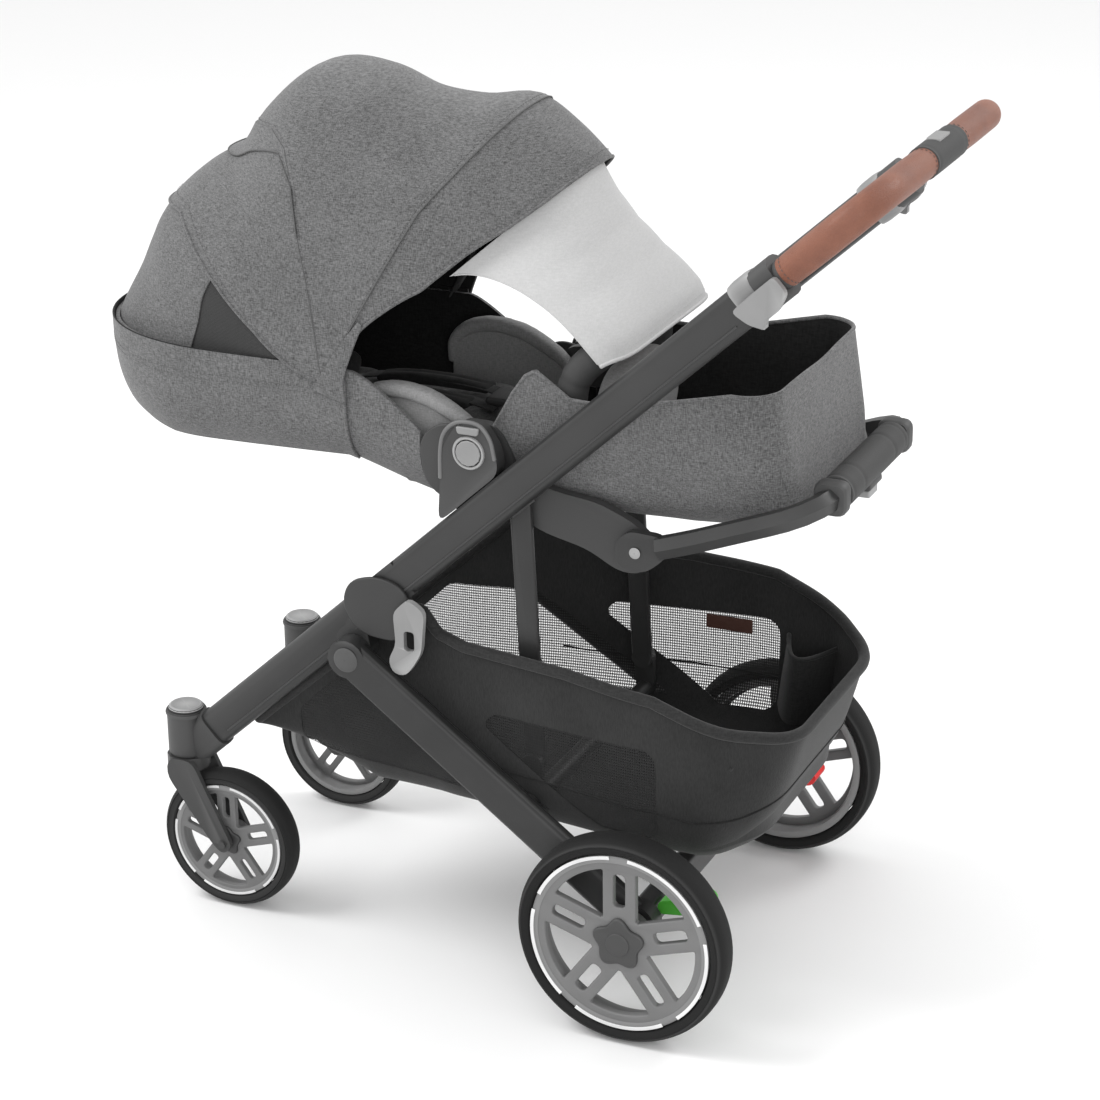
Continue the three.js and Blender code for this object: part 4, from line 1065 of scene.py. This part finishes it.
def build_sunshade():
    """The shade hangs from the front bow, over the bumper bar, and ends in a square hem in front of it."""
    def surface(u, v):
        corner = abs(2 * u - 1) ** 6
        low = SHADE_ANGLE["middle"] + (SHADE_ANGLE["corner"] - SHADE_ANGLE["middle"]) * corner
        angle = math.radians(SHADE_ANGLE["brim"] + (low - SHADE_ANGLE["brim"]) * v)
        power = HOOP_POWER + 7 * v ** 1.5
        radius = np.interp(math.degrees(angle), (9, 13, 17, 22, 29, 36, 42),
                           (383, 382, 372, 358, 352, 360, 374))
        first = math.asin(((209 + 145 * v ** 0.8) / radius) ** (power / 2))
        turn = first + u * (math.pi - 2 * first)
        r = radius * math.sin(turn) ** (2 / power) - 3 * math.sin(math.pi * v) * math.sin(math.pi * u)
        x = 158 * signed_power(math.cos(turn), 2 / power)
        point = np.array((x, PIVOT_Y + r * math.cos(angle), PIVOT_Z + r * math.sin(angle)))
        return point + np.array((0, 0.7, 0.4)) * wrinkle(point * (0.5, 1, 1), 60, 0.8)

    shade = sheet("sunshade_cloth", surface, 90, 30, 1.4, ["shade"], (0, PIVOT_Y, PIVOT_Z))
    front = [surface(u, 1.0) for u in np.linspace(0.01, 0.99, 120)]
    roll = bead("sunshade_roll", front, 2.6, "shade", 12)
    edges = [bead(f"sunshade_edge_{side}", [surface(u, v) for v in np.linspace(0.02, 0.98, 30)], 1.2, "shade")
             for (side, _), u in zip(SIDES, (0.0, 1.0))]
    stitch = stitches("sunshade_stitch",
                      [surface(u, 0.965) + np.array((0, 0.6, 1.0)) for u in np.linspace(0.02, 0.98, 200)],
                      "shade")
    for piece in (shade, roll, stitch, *edges):
        place(piece, "sunshade", "shade")
    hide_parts("sunshade")
    declare_sheet((roll, stitch, *edges))


# ---------- seat back ----------
RIM_Z, BACK_WIDTH, BACK_FRONT, NOSE_START, NOSE_END = 757, 165, -40, -330, -527
BACK_BOTTOM = np.array([(-527, 650), (-500, 634), (-470, 622), (-400, 614), (-280, 617), (-150, 622),
                        (-78, 598), (-40, 588)], float)


def back_plan(u, grow=0.0, front=BACK_FRONT):
    """The seat back's outline from its left front corner round the head end to the right one."""
    straight = front - NOSE_START
    nose = 300.0
    total = 2 * straight + nose
    s = u * total
    w = BACK_WIDTH + grow
    if s < straight:
        return np.array((w, front - s))
    if s > straight + nose:
        return np.array((-w, front - (total - s)))
    turn = (s - straight) / nose * math.pi
    reach = NOSE_START - NOSE_END + grow
    power = 2 / 2.06
    c, d = math.cos(turn), math.sin(turn)
    return np.array((w * signed_power(c, power), NOSE_START - reach * abs(d) ** power))


def back_bowl(u, v, grow=0.0, front=BACK_FRONT, rim=RIM_Z, belly=0.0):
    """v runs from the rim at 0 down the wall and under to the middle line at 1."""
    x, y = back_plan(u, grow, front)
    spine_y = max(y, NOSE_START - 40)
    outer, down = bowl_section(v, 3.6)
    yy = spine_y + (y - spine_y) * outer
    bottom = np.interp(yy, BACK_BOTTOM[:, 0], BACK_BOTTOM[:, 1]) - grow
    z = rim - (rim - bottom) * down
    return np.array((x * outer * (1 + belly * math.sin(math.pi * min(1, v * 2))), yy, z))


# The canopy's band lies outside the seat back, over that share of its wall.
BAND_FRONT, BAND_SHARE, BAND_GROW = -138, 0.52, 4.4


def build_seat_back():
    def shell(u, v):
        point = back_bowl(u, v)
        rim = RIM_Z - 62 * max(0.0, 1 - (abs(point[1] - BACK_FRONT)) / 90) ** 1.3 * (1 - v) ** 2
        point = back_bowl(u, v, rim=rim)
        return point + wrinkle(point, 80, 0.9) * np.array((0.6, 0.3, 1))

    bowl = sheet("seat_back_cloth", shell, 150, 34, 5.0, ["melange", "lining"], (0, -300, 760))
    place(bowl, "backrest", "melange", "seat_back_shell")
    declare_sheet()

    def band(u, v):
        v = v * BAND_SHARE
        point = back_bowl(u, v, BAND_GROW, BAND_FRONT, RIM_Z + 3, belly=0.006)
        flare = 2.2 * math.exp(-(v / 0.06) ** 2)
        out = np.array((point[0], point[1] + 300, 0.0))
        out /= max(np.linalg.norm(out), 1e-6)
        return point + out * (flare * 0.5 + wrinkle(point * (1, 1, 0.6), 90, 1.3))

    apron = sheet("canopy_band", band, 150, 22, 2.4, ["melange", "lining"], (0, -300, 700))
    place(apron, "backrest", "melange")
    declare_sheet()
    top = [band(u, 0.0) for u in np.linspace(0.002, 0.998, 220)]
    place(bead("canopy_band_top", top, 1.1, "lining"), "backrest", "lining")
    for offset in (0.07, 0.1):
        place(stitches(f"canopy_band_stitch_{int(offset * 100)}",
                       [band(u, offset) + (back_plan(u)[0] / 110, -1.0 * (abs(back_plan(u)[0]) < 150), 0)
                        for u in np.linspace(0.01, 0.99, 320)]), "backrest", "melange")
    for (side, _), u in zip(SIDES, (0.0, 1.0)):
        front = [band(u, v) for v in np.linspace(0.02, 1, 30)]
        place(bead(f"canopy_band_front_{side}", front, 1.9, "melange"), "backrest", "melange")
    low = [band(u, 1.0) for u in np.linspace(0.004, 0.996, 200)]
    place(bead("canopy_band_hem", low, 1.8, "melange"), "backrest", "melange")

    pad_outline = rounded([(106, -2), (-106, -2), (-106, -350, 70), (-70, -452, 60), (70, -452, 60),
                           (106, -350, 70)], 24)
    pad = slab_between("back_pad_cloth", pad_outline, 650, 666, "melange_dark")
    inflate(pad, 8, 6.0)
    for x in (-56, 0, 56):
        press(pad, [(x, y, 672) for y in np.linspace(-420, -30, 90)], 4.0, 9)
    for y in (-330, -220, -110):
        press(pad, [(x, y, 672) for x in np.linspace(-108, 108, 50)], 3.5, 8)
    place(pad, "backrest", "lining", "back_pad")


def slab_between(name, outline, z0, z1, material):
    """A closed slab whose outline is drawn in X and Y."""
    outline = np.array(outline, float)
    count = len(outline)
    middle = outline.mean(0)
    rings = []
    for z, scale in ((z0, 0.9), (z0 + (z1 - z0) * 0.25, 1.0), (z0 + (z1 - z0) * 0.75, 1.0), (z1, 0.9)):
        rings.append(np.c_[middle + (outline - middle) * scale, np.full(count, z)])
    faces = ring_faces(len(rings), count, capped=True)
    return outward(new_object(name, np.concatenate(rings), faces, [material]))


def ellipsoid(name, centre, radii, material, rows=24, columns=40, power=2.0):
    points = []
    for i in range(1, rows):
        a = math.pi * i / rows
        for k in range(columns):
            b = 2 * math.pi * k / columns
            d = np.array((math.sin(a) * math.cos(b), math.sin(a) * math.sin(b), math.cos(a)))
            d = np.sign(d) * np.abs(d) ** (2 / power)
            points.append(np.array(centre) + d * radii)
    top, bottom = len(points), len(points) + 1
    points += [np.array(centre) + (0, 0, radii[2]), np.array(centre) - (0, 0, radii[2])]
    faces = ring_faces(rows - 1, columns)
    for k in range(columns):
        m = (k + 1) % columns
        faces.append((top, k, m))
        faces.append((bottom, (rows - 2) * columns + m, (rows - 2) * columns + k))
    return outward(new_object(name, points, faces, [material]))


WING_TOP = [(-141, 676), (-138, 704), (-116, 724), (-84, 731), (-46, 727), (-12, 712), (14, 694), (24, 672)]


def build_wings():
    for side, sign in SIDES:
        line = [(sign * 135.0, y, z) for y, z in curve_through(WING_TOP, 60)]
        run = np.linspace(0, 1, 60)
        bolster = tube(f"side_wing_roll_{side}", line, box_section(20, 24, 9, 4), "padding", up=(1, 0, 0),
                       scale=0.72 + 0.32 * np.sin(math.pi * run) ** 0.6, dome=6)
        inflate(bolster, 6, 5.0)
        press(bolster, [(sign * 140.0, y, z + 5) for y, z in curve_through(WING_TOP, 160)], 1.8, 3.0)
        place(bolster, "backrest", "padding", f"side_wing_{side}")
        inner = [(y, z - 8) for y, z in curve_through(WING_TOP, 40)] + [(24, 645), (-141, 645)]
        # painted light: the wall takes the paler padding cloth in place of its own melange, so that it looks
        # lighter where it lies in shade
        wall = plate(f"side_wing_wall_{side}", inner, sign * 128.0, sign * 139.0, "padding", 4.5)
        place(wall, "backrest", "padding")


HEAD_Y = -285  # middle of the head support
HARNESS_X = 30.0  # each shoulder strap's distance from the middle


def build_harness():
    """Shoulder straps with their pads, the buckle and the head support."""
    for side, sign in SIDES:
        rest = curve_through([(-190, 681), (-150, 687), (-90, 688), (-40, 684)], 40)
        line = [(sign * HARNESS_X, y, z) for y, z in rest]
        pad = tube(f"harness_pad_{side}", line, box_section(34, 9, 4, 3), "lining", up=(0, 0, 1), dome=5)
        inflate(pad, 4, 4.0)
        press(pad, [(sign * HARNESS_X, y, 694) for y in np.linspace(-180, -45, 60)], 1.6, 3.0)
        place(pad, "backrest", "lining")
        strap = [(sign * (HARNESS_X - 12 * max(0, t - 0.4)), y, z) for t, (y, z) in
                 zip(np.linspace(0, 1, 30),
                     curve_through([(-235, 668), (-200, 683), (-120, 689), (-50, 688), (-8, 680)], 30))]
        place(tube(f"harness_strap_{side}", strap, box_section(24, 1.6, 0.7, 2), "webbing", up=(0, 0, 1)),
              "backrest", "lining")
    buckle = plate("harness_buckle", rounded([(-22, 682), (18, 682), (20, 692), (-24, 692)], 5), -22, 22,
                   "plastic", 3)
    place(buckle, "backrest", "plastic")
    head = ellipsoid("head_support", (0, HEAD_Y, 684), (92, 62, 15), "lining", power=2.6)
    inflate(head, 5, 5.0)
    press(head, [(x, HEAD_Y + 40 * math.cos(x / 60), 697) for x in np.linspace(-70, 70, 50)], 2.2, 4)
    place(head, "backrest", "lining")


# ---------- seat, boot and leg rest ----------
SEAT_START, BOOT_CORNER, BOOT_SPINE_END = 26, 40, 350
SEAT_RIM = np.array([(20, 668), (40, 690), (57, 712), (84, 754), (104, 778), (119, 786), (138, 774),
                     (165, 756),
                     (200, 755), (237, 757), (318, 772), (392, 787), (460, 787)], float)
BOOT_END = np.array([(600, 422), (622, 432), (642, 432), (664, 420), (700, 411), (787, 397)], float)
SEAT_HALF = np.array([(600, 138), (640, 146), (664, 148), (695, 156), (800, 159)], float)
KNEE_Y, KNEE_Z = 238, 584


def seat_plan(u, half, end):
    """The seat's plan from its left hub round the foot end to the right hub."""
    if u > 0.5:
        x, y = seat_plan(1 - u, half, end)
        return -x, y
    r = BOOT_CORNER
    if u < 0.36:
        return half, SEAT_START + (end - r - SEAT_START) * u / 0.36
    if u < 0.42:
        t = (u - 0.36) / 0.06 * math.pi / 2
        return half - r + r * math.cos(t), end - r + r * math.sin(t)
    return (half - r) * (1 - (u - 0.42) / 0.08), end


def seat_cloth(u, v):
    outer, down = bowl_section(v, 6.5)
    rough_y = seat_plan(u, 150, 440)[1]
    rim = np.interp(rough_y, SEAT_RIM[:, 0], SEAT_RIM[:, 1])
    end_share = max(0.0, 1 - abs(u - 0.5) / 0.1)
    rim -= 3.0 * end_share
    rough_spine = min(rough_y, BOOT_SPINE_END)
    floor_y = rough_spine + (rough_y - rough_spine) * outer
    floor = np.interp(floor_y, (20, 300, 420, 440), (602, 606, 616, 622))
    z = rim - (rim - floor) * down
    half = np.interp(z, SEAT_HALF[:, 0], SEAT_HALF[:, 1])
    end = np.interp(z, BOOT_END[:, 0], BOOT_END[:, 1])
    x, y = seat_plan(u, half, end)
    spine = min(y, BOOT_SPINE_END)
    point = np.array((x * outer, spine + (y - spine) * outer, z))
    side = 1 if x > 0 else -1
    crease = sum(a * math.exp(-(((point[1] - y0) * c + (point[2] - z0) * s) / w) ** 2)
                 * math.exp(-(((point[1] - y0) * -s + (point[2] - z0) * c) / 46) ** 2)
                 for y0, z0, c, s, w, a in ((262, 664, 0.55, 0.83, 7, -3.0), (286, 676, 0.6, 0.8, 8, 2.4),
                                            (222, 650, 0.45, 0.89, 7, -2.2), (318, 690, 0.7, 0.71, 9, -1.8)))
    wall = 1 if v < 0.6 else 0
    push = outer * (wrinkle(point * (1, 1, 0.8), 62, 2.2) + crease * wall)
    return point + np.array((side * push * (abs(x) > 100), push * end_share, -abs(push) * (1 - wall) * 0.4))


def build_seat():
    cloth = sheet("seat_cloth", seat_cloth, 210, 36, 3.2, ["melange", "lining"], (0, 240, 760))
    rim = [seat_cloth(u, 0.0) for u in np.linspace(0.002, 0.998, 260)]
    binding = bead("seat_rim_binding", rim, 2.6, "melange", 10)
    stitched = [seat_cloth(u, 0.11) * (1.012, 1, 1) for u in np.linspace(0.01, 0.99, 360)]
    stitch = stitches("seat_rim_stitch", stitched)
    corners = []
    for side, sign in SIDES:
        edge = [seat_cloth(0.5 - sign * 0.105, v) + (sign * 0.8, 1.2, 0) for v in np.linspace(0.02, 0.5, 26)]
        corners.append(bead(f"boot_corner_seam_{side}", edge, 1.1, "melange"))
    for piece in (cloth, binding, stitch, *corners):
        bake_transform(piece)
    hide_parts("seat_shell", "boot")
    declare_sheet((binding, stitch, *corners))

    def hip(u, v):
        """Cloth that joins the seat's floor to the seat back."""
        x = 150 * signed_power(math.cos(u * math.pi), 0.35)
        low = 600 + 62 * (1 - abs(math.sin(u * math.pi)) ** 0.35)
        return np.array((x * 0.95, -74 + 128 * v, low + 6 * (1 - v)))
    hips = sheet("hip_cloth", hip, 50, 12, 2.0, ["melange", "lining"], (0, 0, 720))
    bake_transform(hips)
    declare_sheet()

    ball = ellipsoid("knee_pad", (0, 170, 712), (92, 34, 58), "padding", power=2.3)
    inflate(ball, 9, 5.0)
    arc = [(84 * math.cos(t), 196, 712 + 50 * math.sin(t)) for t in np.linspace(-0.3, math.pi + 0.3, 120)]
    press(ball, arc, 2.5, 4)
    place(ball, "upper_frame", "padding", "seat_liner")
    cushion = slab_between("seat_cushion", rounded([(110, 40), (-110, 40), (-110, 222), (110, 222)], 26),
                           622, 640,
                           "melange_dark")
    inflate(cushion, 8, 6.0)
    for x in (-55, 0, 55):
        press(cushion, [(x, y, 645) for y in np.linspace(50, 212, 50)], 3.5, 8)
    place(cushion, "upper_frame", "padding")
    strap = [(0, y, z) for y, z in curve_through([(60, 650), (40, 668), (14, 684)], 20)]
    place(tube("crotch_strap", strap, box_section(26, 2, 0.8, 2), "webbing", up=(1, 0, 0)), "upper_frame",
          "lining")

    bar_y, bar_z = 457, 665
    run = np.linspace(-1, 1, 60)
    sleeve = tube("foot_bar_sleeve", [(99 * t, bar_y, bar_z) for t in run], ring_section(21, 32), "foam",
                  scale=1 - 0.05 * np.exp(-((np.abs(run) - 0.55) / 0.03) ** 2) - 0.05
                  * np.exp(-((np.abs(run) - 0.93) / 0.03) ** 2),
                  dome=2)
    place(sleeve, "leg_rest", "plastic", "foot_bar_pad")
    housing = plate("leg_rest_button_housing",
                    rounded([(443, 653), (471, 653), (473, 641), (449, 640)], 5), -22, 22,
                    "plastic", 2)
    place(housing, "leg_rest", "plastic")
    for side, sign in SIDES:
        inner = [(sign * (102 + 22 * t), bar_y, bar_z) for t in np.linspace(0, 1, 10)]
        place(tube(f"foot_bar_joint_{side}", inner, box_section(40, 40, 12, 4), "plastic", up=(0, 0, 1),
                   scale=[0.9, 0.97, 1, 1, 1, 1, 1, 1, 0.97, 0.9]), "leg_rest", "plastic")
        screw = lathe(f"knee_bolt_{side}", [(0.5, -1), (6, -1), (7, 0.4), (5, 1.6), (0.5, 1.6)],
                      (sign * 172.6, KNEE_Y, KNEE_Z), "trim", 28)
        place(screw, "leg_rest", "trim")


def build_bumper_bar():
    line = rounded([(130, 141, 714), (130, 141, 775), (112, 184, 812), (-112, 184, 812), (-130, 141, 775),
                    (-130, 141, 714)], 40, closed=False, steps=12)
    line = even(line, 150)
    place(tube("bumper_leather", line[33:-33], ring_section(15.6, 26), "leather", dome=2), "bumper_bar",
          "leather",
          "bumper_bar")
    for side, sign in SIDES:
        part = line[:37] if sign > 0 else line[::-1][:37]
        run = np.linspace(0, 1, len(part))
        swell = 0.86 + 0.17 * np.clip(run * 3, 0, 1) - 0.05 * np.exp(-((run - 0.52) / 0.04) ** 2)
        place(tube(f"bumper_sleeve_{side}", part, ring_section(18.4, 28), "foam", scale=swell, dome=2),
              "bumper_bar",
              "plastic")
        end = part[-1]
        along = part[-1] - part[-2]
        along /= np.linalg.norm(along)
        place(tube(f"bumper_ring_{side}", [end + along * t for t in (0.5, 1.4, 2.4, 3.3)],
                   ring_section(18.6, 28),
                   "leather", dome=0.6), "bumper_bar", "leather")


# ---------- basket ----------
BASKET_RIM = np.array([(-290, 264), (-155, 384), (-68, 462), (-40, 466), (-18, 440), (20, 430), (160, 427),
                       (275, 415),
                       (357, 383), (430, 359)], float)
BASKET_FLOOR = np.array([(-290, 258), (-231, 236), (-133, 192), (35, 196), (320, 193), (388, 205),
                         (430, 226)], float)
BASKET_PLAN = [(150, -288), (152, -150), (176, -30), (203, 170), (213, 250), (206, 352, 60), (132, 428, 70),
               (-132, 428, 70), (-206, 352, 60), (-213, 250), (-203, 170), (-176, -30), (-152, -150),
               (-150, -288)]
BASKET_LINE = even(rounded([(*p[:2], 0.0, *(p[2:] or (40,))) for p in BASKET_PLAN], 40, closed=False,
                           steps=10)[:, :2], 400)


BASKET_SPINE = (-288, 345)  # the ends of the floor's middle line


def basket_shell(u, v, grow=0.0):
    x, y = (np.interp(u, np.linspace(0, 1, 400), BASKET_LINE[:, k]) for k in (0, 1))
    outer, down = bowl_section(v, 5.5)
    rim = np.interp(y, BASKET_RIM[:, 0], BASKET_RIM[:, 1])
    rear = max(0.0, (y - 320) / 110)
    floor = np.interp(y, BASKET_FLOOR[:, 0], BASKET_FLOOR[:, 1])
    spine = float(np.clip(y, *BASKET_SPINE))
    yy = spine + (y - spine) * outer - 40 * rear * down
    floor_here = np.interp(yy, BASKET_FLOOR[:, 0], BASKET_FLOOR[:, 1]) if outer < 0.9 else floor
    z = rim - (rim - floor_here) * down
    point = np.array((x * outer + math.copysign(grow, x) * (outer > 0.5), yy, z))
    sag = 2.5 * math.sin(math.pi * v) * wrinkle(point, 90, 1.0)
    return point + np.array((math.copysign(1, x) * sag * 0.6, rear * sag, sag * 0.3))


def window_depth(y, z):
    """How far, in mm, a point of the basket's side lies inside its nearer mesh window; negative outside."""
    front = min(z - 236, 358 - z, y + 226, (y + 228) * 0.70 - (z - 293) * 0.71,
                (72 - y) * 0.55 - (z - 262) * 0.83 + 14)
    middle_y, half_y, half_z, corner = 164.0, 117.0, 62.0, 22.0
    dy, dz = abs(y - middle_y) - (half_y - corner), abs(z - 292) - (half_z - corner)
    rear = corner - math.hypot(max(dy, 0), max(dz, 0)) - min(max(dy, dz), 0)
    rear = min(rear, (y - 72) * 0.55 + (z - 262) * 0.83 - 46)
    return max(front, rear)


def basket_material():
    """Basket cloth that opens into see-through mesh where the piece's own window field is positive."""
    finish = Finish("basket_cloth_windows", grey(0.018), 0.8, Sheen_Weight=0.1, Specular_IOR_Level=0.25)
    field = finish.node("ShaderNodeAttribute", attribute_name="window").outputs["Fac"]
    inside = finish.math("GREATER_THAN", field, 0.0)
    split = finish.node("ShaderNodeSeparateXYZ", {"Vector": finish.place})
    pitch_y, pitch_z = 2 * math.pi / 0.0030, 2 * math.pi / 0.0036
    waves = [finish.math("ABSOLUTE", finish.math("SINE", finish.math("MULTIPLY", split.outputs[axis], p / 2)))
             for axis, p in (("Y", pitch_y), ("Z", pitch_z))]
    web = finish.math("MINIMUM", *waves)
    hole = finish.math("GREATER_THAN", web, 0.36)
    gap = finish.math("MULTIPLY", hole, inside)
    finish.tree.links.new(finish.math("SUBTRACT", 1.0, gap), finish.shader.inputs["Alpha"])
    slow, fine = finish.noise(10, detail=3), finish.noise(620, (1, 1, 0.25), 3)
    tone = finish.math("ADD", finish.math("MULTIPLY", slow, 0.5), finish.math("MULTIPLY", fine, 0.5))
    finish.base(finish.ramp(tone, [(0.3, grey(0.010)), (0.7, grey(0.026))]))
    finish.bump(finish.math("ADD", fine, finish.math("MULTIPLY", inside, 0.8)), 0.0004)
    return finish.material


def add_field(made, name, value):
    """Stores value(y, z), in mm of the CAD source, at each point of a piece."""
    co = points_of(made) / MM
    field = made.data.attributes.new(name, "FLOAT", "POINT")
    field.data.foreach_set("value", np.array([value(y - SHIFT_Y, z) if abs(x) > 120 else -20.0 for x, y,
                                              z in co],
                                             np.float32))


def build_basket():
    MATERIALS["basket_cloth_windows"] = basket_material()
    cloth = sheet("basket_cloth", basket_shell, 260, 70, 2.4, ["basket_cloth_windows"], (0, 100, 420))
    add_field(cloth, "window", window_depth)
    pieces = [cloth]
    rim = [basket_shell(u, 0.0) + (0, 0, 2) for u in np.linspace(0.0, 1.0, 300)]
    pieces.append(tube("basket_rim_roll", rim, ring_section(7.2, 14), "basket_cloth", dome=6))
    hem = [basket_shell(u, 0.19) * (1.008, 1.004, 1) for u in np.linspace(0.16, 0.84, 260)]
    pieces.append(bead("basket_rim_seam", hem, 1.2, "lining"))
    for side, sign in SIDES:
        pocket = [(sign * (188 - 60 * math.sin(math.pi * t)), 300 + 66 * t, 346 - 8 * t)
                  for t in np.linspace(0, 1, 24)]
        pieces.append(bead(f"basket_pocket_hem_{side}", pocket, 3.0, "basket_cloth"))

        def pocket_wall(u, v, sign=sign):
            return np.array((sign * (186 - 14 * v - 60 * math.sin(math.pi * u) * (1 - 0.25 * v)),
                             300 + 66 * u - 8 * v,
                             346 - 8 * u - 92 * v))
        pieces.append(sheet(f"basket_pocket_{side}", pocket_wall, 24, 12, 1.6, ["basket_cloth"],
                            (sign * 230, 340, 300)))
    tag = plate("basket_label", rounded([(181, 350), (245, 351), (245, 332), (181, 331)], 2), -203.6,
                -201.6, "label_leather",
                0.5)
    pieces.append(tag)
    for piece in pieces:
        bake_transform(piece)
    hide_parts("basket")
    declare_sheet((pieces[1], pieces[2]))
    for piece in pieces:
        if piece.name.startswith("basket_pocket_") and piece.name in CUTS:
            declare_sheet()


# ---------- the whole ----------
def build_floor():
    mesh = bpy.data.meshes.new("floor")
    size = 9.0
    mesh.from_pydata([(-size, -size, 0), (size, -size, 0), (size, size, 0), (-size, size, 0)], [],
                     [(0, 1, 2, 3)])
    finish = Finish("floor", grey(0.86), 0.6, Specular_IOR_Level=0.1)
    mesh.materials.append(finish.material)
    floor = bpy.data.objects.new("floor", mesh)
    bpy.context.scene.collection.objects.link(floor)


build_floor()
make_light("key", (1.2, -2.6, 3.6), (0, 0, 0.5), 2.2, 95)
make_light("fill", (3.4, 2.0, 2.0), (0, 0, 0.5), 2.6, 42)
make_light("rim", (-2.6, 2.2, 3.2), (0, 0, 0.6), 2.0, 60)
keep_cad_pieces()
for wheel_side, wheel_sign in SIDES:
    for wheel_end in WHEELS:
        build_wheel(wheel_end, wheel_side, wheel_sign)
    build_frame_details(wheel_side, wheel_sign)
    build_hub(wheel_side, wheel_sign)
build_handle()
build_canopy()
build_sunshade()
build_seat_back()
build_wings()
build_harness()
build_seat()
build_bumper_bar()
build_basket()
